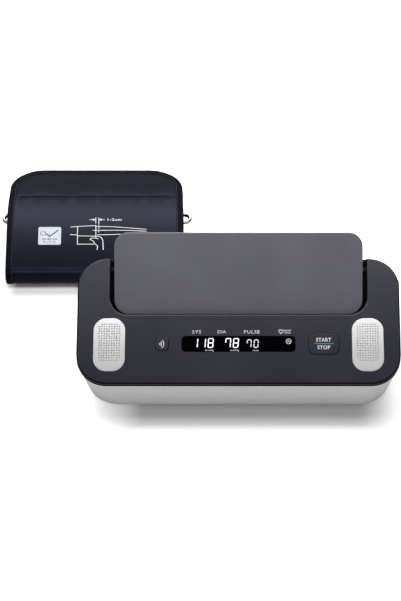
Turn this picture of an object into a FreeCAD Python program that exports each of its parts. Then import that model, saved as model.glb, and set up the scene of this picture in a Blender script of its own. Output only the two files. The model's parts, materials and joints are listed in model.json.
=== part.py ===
import FreeCAD, Part
import math
import os
from FreeCAD import Vector

# Arm blood pressure monitor with a phone stand, and its wrap cuff folded flat behind it.
# Units are millimetres and degrees. Inside this file the monitor stands on z = 0, its middle
# plane is x = 0 and the front edge of its cover is y = 0. At the end every piece is shifted so
# that the origin lies under the middle of the whole set.
# "On the slope" means local coordinates: x across, s up the sloped face, d outwards from it.

# ---- monitor: driving dimensions ----
SLOPE_DEG = 30.0            # tilt of the sloped face
COVER_WIDTH = 238.8
COVER_LENGTH = 96.0         # along the slope
COVER_CORNER = 22.0         # corner radius on the slope
COVER_THICK = 2.2
COVER_EDGE_ROUND = 1.2
COVER_POST_R = 3.1          # posts under the cover that take the casing's screws
FRONT_EDGE_Z = 33.0         # height of the cover's front edge
SKIRT = 3.4                 # height of the cover's rim
SKIRT_THICK = 1.8
SEAM_STEP = 0.3             # the casing stands this far inside the rim
WALL = 2.2                  # casing wall
FOOT_HEIGHT = 2.0
BASE_SIDE_INSET = 5.5       # how far the base lies inside the cover at each side
BASE_FRONT_INSET = 5.2
BASE_CORNER = 25.0
BASE_ROUND = 3.0

NOTCH_WIDTH = 190.8         # U-shaped cut-out for the phone
NOTCH_FRONT = 53.0          # its front edge, along the slope
NOTCH_CORNER = 13.5

STAND_OPEN_DEG = 45.0       # tilt of the stand plate as it stands open
STAND_THICK = 3.0
STAND_WIDTH = 185.4
STAND_LENGTH = 61.5
STAND_BOTTOM_CORNER = 11.0
STAND_TOP_CORNER = 10.5
STAND_LIP_GAP = 0.8         # closed plate to the front edge of the cut-out
STAND_PLANE_MEETS_Y = 74.8  # where the open plate's face crosses the cover's plane
STAND_AXIS_DEPTH = 4.0      # hinge axis below both of those planes
STAND_LUG_R = 2.6
STAND_LUG_LENGTH = 8.2
STAND_EDGE_ROUND = 0.9
PIN_R = 1.2
PIN_CLEARANCE = 0.05
PIN_SEAT = 4.4              # depth of the boss outside the well's side wall
PIN_END = 0.6               # boss left beyond the pin's tip
BUSH_R = 3.0
BUSH_GAP = 0.25             # bush to the plate's edge
STOP_X = 60.0               # rubber stops behind the open plate
STOP_RISE = 10.0            # their middle above the plate's lower edge
STOP_WIDTH = 16.0
STOP_HEIGHT = 8.0
STOP_CORNER = 1.5

WELL_WALL = 2.0
WELL_FLOOR_Z = 49.0
WELL_FLOOR_GAP = 1.53       # open plate's back to the sloped well floor
WELL_REAR_Z = 75.5          # top of the rear wall between the wings
WELL_REAR_GAP = 0.1         # well to the rear wall
TROUGH_GAP = 0.5            # room round the plate's lugs
TROUGH_INNER = 83.5         # inner end of that room
LEDGE_DEPTH = 3.1
LEDGE_RISE = 8.9            # top of the ledge above the well's floor
LEDGE_HALF = 78.0

PAD_X = 95.3                # thumb electrodes
PAD_S = 29.0
PAD_WIDTH = 23.4
PAD_LENGTH = 40.3
PAD_CORNER = 9.5
PAD_PROUD = 0.6
PAD_RECESS = 1.0
PAD_GAP = 0.25
PAD_EDGE_ROUND = 0.5
CONTACT_X = 89.0            # sprung contact between each electrode and the board
CONTACT_S = 36.0
CONTACT_R = 1.1
CONTACT_SLEEVE_R = 2.0
CONTACT_SLEEVE = 4.0
CONTACT_HOLE_R = 1.3

WINDOW_WIDTH = 84.0         # display window
WINDOW_HEIGHT = 12.0
WINDOW_S = 29.5
WINDOW_CORNER = 3.0
LENS_THICK = 1.2
LENS_STEP = 0.15            # the lens lies this far below the cover
LENS_GAP = 0.1
WINDOW_LEDGE = 1.6
SIGHT_CORNER = 1.0
MODULE_WIDTH = 88.0         # display module under the window, and the frame that carries it
MODULE_HEIGHT = 16.0
MODULE_CORNER = 0.8
MODULE_D = -6.4             # its lower face
MODULE_GAP = 0.1
FRAME_MARGIN = 2.0          # frame beyond the module, all round
FRAME_BAR = 4.0
FRAME_CORNER = 1.5

BUTTON_GAP = 0.35
BUTTON_PROUD = 0.5
BUTTON_TRAVEL = 0.8
BUTTON_EDGE_ROUND = 0.35
BUTTON_FLANGE = 1.2         # flange beyond the cap, all round
FLANGE_GAP = 0.2            # flange to the cover's inner face
FLANGE_THICK = 0.8
STEM_R = 2.0
STEM_GAP = 0.05             # pressed stem to the switch
START_X = 62.9
START_WIDTH = 22.4
START_HEIGHT = 15.4
START_CORNER = 4.6
LINK_X = -56.4              # connection button
LINK_WIDTH = 9.7
LINK_HEIGHT = 10.1
LINK_CORNER = 3.0

BOARD_D = -10.0             # upper face of the main board, on the slope
BOARD_THICK = 1.6
BOARD_HALF = 94.0
BOARD_FRONT = 11.0
BOARD_REAR = 43.0
BOARD_POST_X = 80.0
BOARD_POST_EDGE = 4.0       # posts in from the board's long edges
BOARD_POST_R = 3.0
BOARD_HOLE_R = 1.2
BOARD_SCREW_R = 0.9
BOARD_SCREW_HEAD_R = 2.0
BOARD_SCREW_HEAD = 1.4
BOARD_SCREW_REACH = 5.0     # above the board's upper face
PILOT_EXTRA = 0.8           # pilot hole beyond the screw's tip
SWITCH_SIZE = 6.0
SWITCH_BODY = 1.5
SWITCH_HEIGHT = 2.15
PLUNGER_R = 1.6
CHIPS = (                   # x, s, width, height, thickness, under the board
    (-30.0, 20.0, 10.0, 10.0, 1.5), (-8.0, 22.0, 8.0, 8.0, 1.3), (14.0, 30.0, 9.0, 7.0, 1.6),
    (34.0, 20.0, 6.0, 6.0, 1.1), (-52.0, 26.0, 7.0, 12.0, 2.2), (52.0, 34.0, 12.0, 6.0, 2.6))
RADIO_X = -36.0
RADIO_S = 15.6
RADIO_WIDTH = 16.0
RADIO_HEIGHT = 6.8
RADIO_BOARD = 0.8
RADIO_CAN_X = -34.0
RADIO_CAN_WIDTH = 11.0
RADIO_CAN_HEIGHT = 6.0
RADIO_CAN_TOP = 2.6
BUZZER_X = 40.0
BUZZER_S = 15.2
BUZZER_R = 4.0
BUZZER_TALL = 4.5
BUZZER_HOLE_R = 0.8

AIR_Y = 35.0                # pump, manifold and air jack lie on one line
AIR_Z = 18.5
JACK_BORE_R = 4.05
JACK_BORE_LENGTH = 12.0
JACK_R = 6.6
JACK_FACE_X = -116.8
JACK_FLANGE_X = (-111.0, -109.0)
JACK_FLANGE_R = 8.6
JACK_END = 3.0              # closed end of the jack beyond its bore
NIPPLE_R = 1.6
NIPPLE_LENGTH = 5.0
AIRWAY_R = 0.8
TUBE_R = 2.9
MOTOR_R = 12.0
MOTOR_X = (-12.0, 22.0)
MOTOR_CAP_R = 4.5
MOTOR_CAP = 2.5
MOTOR_SHAFT_R = 1.0
MOTOR_SHAFT = 2.5
HEAD_X = (-36.0, -12.0)
HEAD_HALF = 13.0
HEAD_CORNER = 3.0
HEAD_AIRWAY = 8.0
MOUNT_X = (-8.0, 12.0)      # rubber cradles under the motor
MOUNT_WIDTH = 6.0
MOUNT_HALF = 13.0
MOUNT_DROP = 2.0            # their top below the motor's axis
MANIFOLD_X = (-84.0, -74.0)
MANIFOLD_HALF = 5.0
VALVE_R = 6.5
VALVE_LENGTH = 15.5
VALVE_NECK_R = 3.0
VALVE_NECK = 1.5
VALVE_TIP_R = 1.6
VALVE_TIP = 2.0
SENSOR_HALF = 5.0
SENSOR_NECK_R = 2.2
SENSOR_NECK = 1.2
SENSOR_TALL = 4.8

BAY_HALF = 56.8             # battery bay, inside
BAY_LOW = 7.7
BAY_HIGH = 38.0
BAY_FRONT = 64.4
BAY_WALL = 1.5
CELL_R = 7.1
CELL_LENGTH = 49.5
CELL_PITCH = 15.0
CELL_CAP_R = 2.6
CELL_CAP = 1.2
CELL_APART = 1.4            # between the two cells of a row
CELL_SIDE_GAP = 0.3         # cell to the bay's front wall
CELL_LOW_GAP = 0.15
LEAF_THICK = 0.6            # sheet behind each spring and each flat contact
LEAF_HALF = 6.0
SPRING_R = (5.0, 3.0)
CONTACT_BUMP_R = 3.4
DOOR_GAP = 0.3
DOOR_THICK = 2.0
DOOR_AXIS_RISE = 1.0
DOOR_STUB_R = 0.7
DOOR_STUB = 1.4
DOOR_STUB_GAP = 0.2
SCOOP_R = 9.0               # finger scoop at the door's upper edge
SCOOP_DEPTH = 0.9
SCOOP_RISE = 3.0            # its centre above that edge

POWER_X = 80.0              # power jack
POWER_Z = 15.0
POWER_R = 4.6
POWER_BODY_HALF = 6.0
POWER_BODY = 11.0
POWER_BORE_R = 2.75
POWER_BORE = 9.0
POWER_PIN_R = 0.65
POWER_STEP = 0.2            # jack's face inside the rear wall's
POWER_PIN_STEP = 1.5        # pin's tip inside the rear wall's face

FOOT_R = 6.0
FOOT_SINK = 1.0
FOOT_X = 84.0
FOOT_FRONT_Y = 17.0
FOOT_REAR_Y = 69.4
POST_R = 3.5
POST_TOP_Z = 22.0
POST_GAP = 0.1              # casing's post to the cover's post
POSTS = ((100.0, 22.0), (104.0, 56.0))
SCREW_R = 1.1
SCREW_GAP = 0.4
SCREW_REACH = 7.0           # into the cover's post
SCREW_PILOT = 9.0
SCREW_HEAD_R = 2.7
SCREW_HEAD = 1.8
SCREW_HEAD_GAP = 0.3
SCREW_SEAT = 2.6            # seat of the head above the base
SCREW_SOCKET_R = 1.0
SCREW_SOCKET = 0.8

# ---- cuff: driving dimensions ----
CUFF_WIDTH = 144.0
CUFF_MID_X = -118.2         # its middle line crosses the seam here
CUFF_LEAN = 0.054           # that line runs this far to the left for each length to the rear
CUFF_FRONT_Y = 130.0
CUFF_REAR_Y = 263.3
CUFF_UNDER_REAR_Y = 254.0
CUFF_HEIGHT = 22.0
CUFF_SEAM_Y = 221.3
CUFF_REAR_HEIGHT = 13.0
CUFF_CLOTH = 4.0
CUFF_CORNER = 29.0
CUFF_BINDING = 5.5
CUFF_PAD_FRONT = 141.0
CUFF_PAD_REAR = 195.0
CUFF_PLY_GAP = 0.3
CUFF_PAD_CORNER = 4.0
CUFF_PAD_ROUND = 3.0
CUFF_PAD_INSET = 1.5        # inner section inside the wrap's sides
BLADDER_HALF = 55.0
BLADDER_THICK = 2.0
BLADDER_INSET = 6.0
RING_WIRE_R = 1.5
RING_HALF = 77.3            # centre line, along the cuff's width
RING_BAR_Y = 203.3
RING_BAR_GAP = 9.3
RING_Z = 6.6
RING_LOOP_R = 2.5
RING_LOOP_HALF = 62.0
RING_TAB_HALF = 1.2
RING_PLAY = 0.3
LABEL_X = (-46.8, -28.3)    # from the cuff's middle line
LABEL_Y = (160.4, 182.3)
LABEL_THICK = 0.3
LABEL_CORNER = 1.5
HOOK_HALF = 50.0            # hook patch on the under ply
HOOK_Y = (222.0, 247.0)
HOOK_THICK = 1.2
HOOK_CORNER = 2.5
HOSE_PORT_Y = 168.0
HOSE_PORT_Z = 11.0
HOSE_PORT_R = 2.4
HOSE_PORT_LENGTH = 9.0
HOSE_PORT_WALL = 1.6
HOSE_BORE_R = 1.2
HOSE_BORE_INSET = 2.0

# ---- lengths of the cutting solids ----
PAST = 1.0                  # a cut runs this far past a surface
THROUGH = 5.0               # a cut that goes right through the cover
FAR = 140.0                 # beyond every piece of the monitor
NEAR_ZERO = 1e-4

# ---- worked out from the driving dimensions ----
TILT = math.radians(SLOPE_DEG)
TAN = math.tan(TILT)
COS = math.cos(TILT)
SIN = math.sin(TILT)
HALF = COVER_WIDTH / 2
REAR_Y = COVER_LENGTH * COS - SEAM_STEP
REAR_INNER_Y = REAR_Y - WALL
LIP_Y = NOTCH_FRONT * COS
CASING_FLOOR = FOOT_HEIGHT + WALL + 0.2
JACK_END_X = JACK_FACE_X + JACK_BORE_LENGTH + JACK_END
CELL_Y = BAY_FRONT + CELL_R + CELL_SIDE_GAP
SCREW_HEAD_TOP = FOOT_HEIGHT + SCREW_SEAT
FLANGE_TOP = -COVER_THICK - FLANGE_GAP
STAND_BACK = STAND_AXIS_DEPTH - STAND_THICK
DOWN_ON_SLOPE = Vector(0, -SIN, -COS)
OPEN = math.radians(STAND_OPEN_DEG)
BISECTOR = (TILT + OPEN) / 2
AXIS_REACH = STAND_AXIS_DEPTH / math.cos((OPEN - TILT) / 2)
AXIS_Y = STAND_PLANE_MEETS_Y + AXIS_REACH * math.sin(BISECTOR)
AXIS_Z = FRONT_EDGE_Z + STAND_PLANE_MEETS_Y * TAN - AXIS_REACH * math.cos(BISECTOR)
AXIS_S = AXIS_Y * COS + (AXIS_Z - FRONT_EDGE_Z) * SIN
STAND_BELOW = AXIS_S - NOTCH_FRONT - STAND_LIP_GAP
DOOR_AXIS_Y = REAR_Y - DOOR_THICK / 2
DOOR_AXIS_Z = BAY_LOW + DOOR_GAP + DOOR_AXIS_RISE
SIDES = (-1, 1)


def corner_rounded(points, height=0.0):
    """Closed wire through (a, b, radius) corners in the plane of the first two axes."""
    count = len(points)
    starts = []
    ends = []
    middles = []
    for i in range(count):
        here = Vector(points[i][0], points[i][1], height)
        before = Vector(points[i - 1][0], points[i - 1][1], height) - here
        after = Vector(points[(i + 1) % count][0], points[(i + 1) % count][1], height) - here
        before.normalize()
        after.normalize()
        radius = points[i][2]
        half = before.getAngle(after) / 2
        starts.append(here + before * (radius / math.tan(half)))
        ends.append(here + after * (radius / math.tan(half)))
        to_centre = before + after
        to_centre.normalize()
        middles.append(here + to_centre * (radius / math.sin(half) - radius))
    edges = []
    for i in range(count):
        if points[i][2] > 0:
            edges.append(Part.Arc(starts[i], middles[i], ends[i]).toShape())
        nxt = (i + 1) % count
        if (starts[nxt] - ends[i]).Length > 1e-6:
            edges.append(Part.LineSegment(ends[i], starts[nxt]).toShape())
    return Part.Wire(edges)


def box_corners(x0, x1, y0, y1, radius):
    """Corner list of a rounded rectangle."""
    return [(x0, y0, radius), (x1, y0, radius), (x1, y1, radius), (x0, y1, radius)]


def centred(x, y, width, height, radius):
    """Corner list of a rounded rectangle about a centre."""
    return box_corners(x - width / 2, x + width / 2, y - height / 2, y + height / 2, radius)


def on_slope(shape):
    """Turn and lift a shape from slope coordinates to its place."""
    placed = shape.copy()
    turn = FreeCAD.Rotation(Vector(1, 0, 0), SLOPE_DEG)
    move = FreeCAD.Placement(Vector(0, 0, FRONT_EDGE_Z), turn)
    placed.Placement = move.multiply(placed.Placement)
    return placed


def slope_slab(corners, top, bottom):
    """Prism square to the sloped face, between two depths, in slope coordinates."""
    face = Part.Face(corner_rounded(corners, bottom))
    return face.extrude(Vector(0, 0, top - bottom))


def upright_slab(corners, low, high):
    """Upright prism over a plan outline."""
    face = Part.Face(corner_rounded(corners, low))
    return face.extrude(Vector(0, 0, high - low))


def side_profile(points, x0, x1):
    """Prism along x over a (y, z) outline of straight sides."""
    ring = [Vector(x0, y, z) for y, z in points]
    face = Part.Face(Part.makePolygon(ring + ring[:1]))
    return face.extrude(Vector(x1 - x0, 0, 0))


def block(x0, x1, y0, y1, z0, z1):
    """Box between six planes."""
    return Part.makeBox(x1 - x0, y1 - y0, z1 - z0, Vector(x0, y0, z0))


def rod_x(radius, x0, x1, y, z):
    """Cylinder along x."""
    return Part.makeCylinder(radius, x1 - x0, Vector(x0, y, z), Vector(1, 0, 0))


def rod_y(radius, y0, y1, x, z):
    """Cylinder along y."""
    return Part.makeCylinder(radius, y1 - y0, Vector(x, y0, z), Vector(0, 1, 0))


def rod_z(radius, z0, z1, x, y):
    """Cylinder along z."""
    return Part.makeCylinder(radius, z1 - z0, Vector(x, y, z0))


def slope_rod(radius, top, bottom, x, s):
    """Cylinder square to the sloped face, in slope coordinates."""
    return Part.makeCylinder(radius, top - bottom, Vector(x, s, bottom))


def round_edges(shape, radius, wanted):
    """Fillet the edges whose both ends satisfy a test."""
    edges = [e for e in shape.Edges if all(wanted(v.Point) for v in e.Vertexes)]
    return shape.makeFillet(radius, edges)


def cover_corners(inset):
    """Outline of the sloped face with its cut-out, moved inwards all round."""
    edge = HALF - inset
    rear = COVER_LENGTH - inset
    inner = NOTCH_WIDTH / 2 + inset
    big = COVER_CORNER - inset
    return [
        (-edge, inset, big), (edge, inset, big), (edge, rear, big), (inner, rear, 0.0),
        (inner, NOTCH_FRONT - inset, NOTCH_CORNER + inset),
        (-inner, NOTCH_FRONT - inset, NOTCH_CORNER + inset),
        (-inner, rear, 0.0), (-edge, rear, big)]


def notch_corners(grow, rear):
    """Outline of the cut-out, moved outwards by grow and open towards the rear."""
    half = NOTCH_WIDTH / 2 + grow
    front = NOTCH_FRONT - grow / COS
    radius = NOTCH_CORNER + grow
    return [(-half, front, radius), (half, front, radius), (half, rear, 0.0), (-half, rear, 0.0)]


def notch_column(grow):
    """Upright column through the cut-out."""
    face = on_slope(Part.Face(corner_rounded(notch_corners(grow, FAR), 0.0)))
    face.translate(Vector(0, 0, FAR))
    return face.extrude(Vector(0, 0, -2 * FAR))


def under_cover(depth):
    """Everything below a plane parallel to the sloped face."""
    slab = slope_slab(box_corners(-FAR, FAR, -FAR, 2 * FAR, 0.0), depth, depth - 2 * FAR)
    return on_slope(slab)


def slope_z(y, depth=0.0):
    """Height of a plane parallel to the sloped face."""
    return FRONT_EDGE_Z + y * TAN + depth / COS


# ---- cover and casing ----
def make_top_cover():
    rim = Part.Face(corner_rounded(cover_corners(0.0), 0.0))
    solid = rim.extrude(DOWN_ON_SLOPE * SKIRT)
    solid = round_edges(solid, COVER_EDGE_ROUND, lambda p: abs(p.z) < NEAR_ZERO)
    inside = box_corners(-HALF + SKIRT_THICK, HALF - SKIRT_THICK, SKIRT_THICK, COVER_LENGTH - SKIRT_THICK,
                         COVER_CORNER - SKIRT_THICK)
    hollow = Part.Face(corner_rounded(inside, -COVER_THICK)).extrude(DOWN_ON_SLOPE * 2 * THROUGH)
    solid = solid.cut(hollow)
    window = centred(0, WINDOW_S, WINDOW_WIDTH + 2 * LENS_GAP, WINDOW_HEIGHT + 2 * LENS_GAP, WINDOW_CORNER)
    solid = solid.cut(slope_slab(window, PAST, -LENS_STEP - LENS_THICK))
    sight = centred(0, WINDOW_S, WINDOW_WIDTH - 2 * WINDOW_LEDGE, WINDOW_HEIGHT - 2 * WINDOW_LEDGE,
                    SIGHT_CORNER)
    solid = solid.cut(slope_slab(sight, PAST, -THROUGH))
    for x, width, height, corner in buttons():
        hole = centred(x, WINDOW_S, width + 2 * BUTTON_GAP, height + 2 * BUTTON_GAP, corner + BUTTON_GAP)
        solid = solid.cut(slope_slab(hole, PAST, -THROUGH))
    for side in SIDES:
        seat = centred(side * PAD_X, PAD_S, PAD_WIDTH + 2 * PAD_GAP, PAD_LENGTH + 2 * PAD_GAP,
                       PAD_CORNER + PAD_GAP)
        solid = solid.cut(slope_slab(seat, PAST, -PAD_RECESS))
        solid = solid.cut(slope_rod(CONTACT_HOLE_R, PAST, -THROUGH, side * CONTACT_X, CONTACT_S))
    pilot_top = BOARD_D + BOARD_SCREW_REACH + PILOT_EXTRA
    for x, s in board_posts():
        post = slope_rod(BOARD_POST_R, -COVER_THICK, BOARD_D, x, s)
        solid = solid.fuse(post).cut(slope_rod(BOARD_SCREW_R, pilot_top, BOARD_D - PAST, x, s))
    solid = on_slope(solid)
    for x, y in post_places():
        post = rod_z(COVER_POST_R, POST_TOP_Z + POST_GAP, slope_z(y), x, y)
        post = post.common(under_cover(-COVER_THICK))
        solid = solid.fuse(post).cut(rod_z(SCREW_R, POST_TOP_Z - PAST, POST_TOP_Z + SCREW_PILOT, x, y))
    return solid.removeSplitter()


def buttons():
    """Place and size of each button: x, width, height, corner radius."""
    return ((START_X, START_WIDTH, START_HEIGHT, START_CORNER),
            (LINK_X, LINK_WIDTH, LINK_HEIGHT, LINK_CORNER))


def board_posts():
    """Screw places of the main board, on the slope."""
    rows = (BOARD_FRONT + BOARD_POST_EDGE, BOARD_REAR - BOARD_POST_EDGE)
    return [(side * BOARD_POST_X, s) for side in SIDES for s in rows]


def post_places():
    """Screw places of the casing, in plan."""
    return [(side * x, y) for side in SIDES for x, y in POSTS]


def foot_places():
    """Feet, in plan."""
    return [(side * FOOT_X, y) for side in SIDES for y in (FOOT_FRONT_Y, FOOT_REAR_Y)]


def base_wire(inset, z):
    """Outline of the casing's base at a height."""
    half = HALF - BASE_SIDE_INSET - inset
    corners = box_corners(-half, half, BASE_FRONT_INSET + inset, REAR_Y - inset, BASE_CORNER - inset)
    return corner_rounded(corners, z)


def casing_rim(inset, lift):
    """Outline of the casing's sloped top, below the cover's rim."""
    edge = SEAM_STEP + inset
    corners = box_corners(-HALF + edge, HALF - edge, edge, COVER_LENGTH - edge, COVER_CORNER - edge)
    wire = on_slope(corner_rounded(corners, 0.0))
    wire.translate(Vector(0, 0, lift - SKIRT))
    return wire


def make_lower_casing():
    low = FOOT_HEIGHT
    outside = Part.makeLoft([
        base_wire(BASE_ROUND * 0.8, low), base_wire(BASE_ROUND * 0.25, low + BASE_ROUND * 0.35),
        base_wire(0.0, low + BASE_ROUND), casing_rim(0.0, 0.0)], True, True)
    inside = Part.makeLoft([
        base_wire(WALL + 1.0, CASING_FLOOR), base_wire(WALL, low + BASE_ROUND + 0.4),
        casing_rim(WALL, 0.5)], True, True)
    solid = outside.cut(inside)
    inner = NOTCH_WIDTH / 2
    solid = solid.cut(block(-inner, inner, REAR_INNER_Y - 2 * WALL, REAR_Y + THROUGH, WELL_REAR_Z, FAR))
    solid = solid.cut(block(-BAY_HALF, BAY_HALF, REAR_INNER_Y - PAST, REAR_Y + THROUGH, BAY_LOW, BAY_HIGH))
    stub_end = BAY_HALF + DOOR_STUB + DOOR_STUB_GAP
    solid = solid.cut(rod_x(DOOR_STUB_R + PIN_CLEARANCE, -stub_end, stub_end, DOOR_AXIS_Y, DOOR_AXIS_Z))
    for trough in hinge_rods(STAND_LUG_R + TROUGH_GAP, TROUGH_INNER, inner):
        solid = solid.cut(trough)
    for x, y in post_places():
        solid = solid.fuse(rod_z(POST_R, low + WALL / 2, POST_TOP_Z, x, y))
        solid = solid.cut(rod_z(SCREW_R + SCREW_GAP, low - PAST, POST_TOP_Z + PAST, x, y))
        solid = solid.cut(rod_z(SCREW_HEAD_R + SCREW_HEAD_GAP, low - PAST, SCREW_HEAD_TOP, x, y))
    for x, y in foot_places():
        solid = solid.cut(rod_z(FOOT_R, low - PAST, low + FOOT_SINK, x, y))
    solid = solid.cut(rod_x(JACK_R, -HALF - PAST, JACK_END_X, AIR_Y, AIR_Z))
    solid = solid.cut(rod_y(POWER_R, REAR_INNER_Y - PAST, REAR_Y + PAST, POWER_X, POWER_Z))
    return solid.removeSplitter()


# ---- phone well and stand ----
def well_room(front, floor, gap, rear):
    """Space above the flat and the sloped part of the well's floor, as a prism along x."""
    reach = STAND_THICK + gap
    shift = FRONT_EDGE_Z + STAND_PLANE_MEETS_Y * (TAN - 1) - reach * math.sqrt(2)
    points = [(front, floor), (floor - shift, floor), (rear, rear + shift), (rear, FAR), (front, FAR)]
    return side_profile(points, -HALF, HALF)


def hinge_rods(radius, inner, outer):
    """Cylinders about the stand's axis, one at each side."""
    rods = []
    for side in SIDES:
        ends = sorted((side * inner, side * outer))
        rods.append(rod_x(radius, ends[0], ends[1], AXIS_Y, AXIS_Z))
    return rods


def make_cradle_well():
    front = LIP_Y - 2 * THROUGH
    pocket = notch_column(0.0).common(well_room(front, WELL_FLOOR_Z, WELL_FLOOR_GAP, FAR))
    shell = notch_column(WELL_WALL)
    shell = shell.common(well_room(front, WELL_FLOOR_Z - WELL_WALL, WELL_FLOOR_GAP + WELL_WALL, REAR_INNER_Y))
    inner = NOTCH_WIDTH / 2
    trough_r = STAND_LUG_R + TROUGH_GAP
    for rod in hinge_rods(trough_r + WELL_WALL, TROUGH_INNER - WELL_WALL, inner + WELL_WALL):
        shell = shell.fuse(rod)
    for rod in hinge_rods(trough_r, inner, inner + PIN_SEAT):
        shell = shell.fuse(rod)
    shell = shell.common(under_cover(-COVER_THICK))
    shell = shell.common(block(-HALF, HALF, 0, REAR_INNER_Y - WELL_REAR_GAP, 0, FAR))
    solid = shell.cut(pocket)
    for rod in hinge_rods(trough_r, TROUGH_INNER, inner):
        solid = solid.cut(rod)
    for rod in hinge_rods(PIN_R, inner - PAST, inner + PIN_SEAT - PIN_END):
        solid = solid.cut(rod)
    return solid.removeSplitter()


def make_phone_ledge():
    top_front = WELL_FLOOR_Z + LEDGE_RISE
    points = [(LIP_Y, top_front), (LIP_Y + LEDGE_DEPTH, top_front - LEDGE_DEPTH),
              (LIP_Y + LEDGE_DEPTH, WELL_FLOOR_Z), (LIP_Y, WELL_FLOOR_Z)]
    return side_profile(points, -LEDGE_HALF, LEDGE_HALF)


def in_stand_frame(shape):
    """From plate coordinates (x, up the plate, out of its face) to the open stand."""
    placed = shape.copy()
    turn = FreeCAD.Rotation(Vector(1, 0, 0), STAND_OPEN_DEG)
    placed.Placement = FreeCAD.Placement(Vector(0, AXIS_Y, AXIS_Z), turn).multiply(placed.Placement)
    return placed


def make_phone_stand():
    half = STAND_WIDTH / 2
    low = -STAND_BELOW
    high = STAND_LENGTH - STAND_BELOW
    corners = [(-half, low, STAND_BOTTOM_CORNER), (half, low, STAND_BOTTOM_CORNER),
               (half, high, STAND_TOP_CORNER), (-half, high, STAND_TOP_CORNER)]
    plate = Part.Face(corner_rounded(corners, STAND_BACK)).extrude(Vector(0, 0, STAND_THICK))
    plate = round_edges(plate, STAND_EDGE_ROUND, lambda p: abs(p.z - STAND_AXIS_DEPTH) < NEAR_ZERO)
    plate = in_stand_frame(plate)
    for rod in hinge_rods(STAND_LUG_R, half - STAND_LUG_LENGTH, half):
        plate = plate.fuse(rod)
    for rod in hinge_rods(PIN_R + PIN_CLEARANCE, half - STAND_LUG_LENGTH - PAST, half + PAST):
        plate = plate.cut(rod)
    return plate.removeSplitter()


def make_stand_pins():
    inner_end = STAND_WIDTH / 2 - STAND_LUG_LENGTH + PIN_END
    return Part.makeCompound(hinge_rods(PIN_R, inner_end, NOTCH_WIDTH / 2 + PIN_SEAT - PIN_END))


def make_stand_bushes():
    inner = NOTCH_WIDTH / 2
    rings = hinge_rods(BUSH_R, STAND_WIDTH / 2 + BUSH_GAP, inner)
    holes = hinge_rods(PIN_R, STAND_WIDTH / 2, inner + PAST)
    return Part.makeCompound([ring.cut(hole) for ring, hole in zip(rings, holes)])


def make_stand_stops():
    """Rubber pads between the open plate's back and the well's floor."""
    pads = []
    for side in SIDES:
        outline = centred(side * STOP_X, -STAND_BELOW + STOP_RISE, STOP_WIDTH, STOP_HEIGHT, STOP_CORNER)
        pads.append(in_stand_frame(slope_slab(outline, STAND_BACK, STAND_BACK - WELL_FLOOR_GAP)))
    return Part.makeCompound(pads)


# ---- display, buttons and electrodes ----
def make_display_lens():
    lens = slope_slab(centred(0, WINDOW_S, WINDOW_WIDTH, WINDOW_HEIGHT, WINDOW_CORNER - LENS_GAP),
                      -LENS_STEP, -LENS_STEP - LENS_THICK)
    return on_slope(lens)


def make_display_module():
    outline = centred(0, WINDOW_S, MODULE_WIDTH, MODULE_HEIGHT, MODULE_CORNER)
    return on_slope(slope_slab(outline, -COVER_THICK - MODULE_GAP, MODULE_D))


def make_display_frame():
    width = MODULE_WIDTH + 2 * FRAME_MARGIN
    height = MODULE_HEIGHT + 2 * FRAME_MARGIN
    frame = slope_slab(centred(0, WINDOW_S, width, height, FRAME_CORNER), MODULE_D, BOARD_D)
    inside = centred(0, WINDOW_S, width - 2 * FRAME_BAR, height - 2 * FRAME_BAR, 0.0)
    return on_slope(frame.cut(slope_slab(inside, MODULE_D + PAST, BOARD_D - PAST)))


def make_button(x, width, height, corner):
    cap = slope_slab(centred(x, WINDOW_S, width, height, corner), BUTTON_PROUD, FLANGE_TOP)
    cap = round_edges(cap, BUTTON_EDGE_ROUND, lambda p: abs(p.z - BUTTON_PROUD) < NEAR_ZERO)
    grow = 2 * BUTTON_FLANGE
    outline = centred(x, WINDOW_S, width + grow, height + grow, corner)
    flange = slope_slab(outline, FLANGE_TOP, FLANGE_TOP - FLANGE_THICK)
    stem_end = BOARD_D + SWITCH_HEIGHT + BUTTON_TRAVEL + STEM_GAP
    stem = slope_rod(STEM_R, FLANGE_TOP - FLANGE_THICK, stem_end, x, WINDOW_S)
    return on_slope(cap.fuse([flange, stem]).removeSplitter())


def make_key_switches():
    switches = []
    for x, _, _, _ in buttons():
        outline = centred(x, WINDOW_S, SWITCH_SIZE, SWITCH_SIZE, 0.0)
        body = slope_slab(outline, BOARD_D + SWITCH_BODY, BOARD_D)
        plunger = slope_rod(PLUNGER_R, BOARD_D + SWITCH_HEIGHT, BOARD_D + SWITCH_BODY, x, WINDOW_S)
        switches.append(body.fuse(plunger))
    return on_slope(Part.makeCompound(switches))


def make_thumb_electrode(side):
    pad = slope_slab(centred(side * PAD_X, PAD_S, PAD_WIDTH, PAD_LENGTH, PAD_CORNER), PAD_PROUD, -PAD_RECESS)
    return on_slope(round_edges(pad, PAD_EDGE_ROUND, lambda p: abs(p.z - PAD_PROUD) < NEAR_ZERO))


def make_electrode_contacts():
    pins = []
    for side in SIDES:
        x = side * CONTACT_X
        pin = slope_rod(CONTACT_R, -PAD_RECESS, BOARD_D, x, CONTACT_S)
        sleeve = slope_rod(CONTACT_SLEEVE_R, BOARD_D + CONTACT_SLEEVE, BOARD_D, x, CONTACT_S)
        pins.append(pin.fuse(sleeve))
    return on_slope(Part.makeCompound(pins))


# ---- main board ----
def make_main_board():
    board = slope_slab(box_corners(-BOARD_HALF, BOARD_HALF, BOARD_FRONT, BOARD_REAR, 2.0),
                       BOARD_D, BOARD_D - BOARD_THICK)
    for x, s in board_posts():
        board = board.cut(slope_rod(BOARD_HOLE_R, BOARD_D + PAST, BOARD_D - BOARD_THICK - PAST, x, s))
    return on_slope(board)


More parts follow.
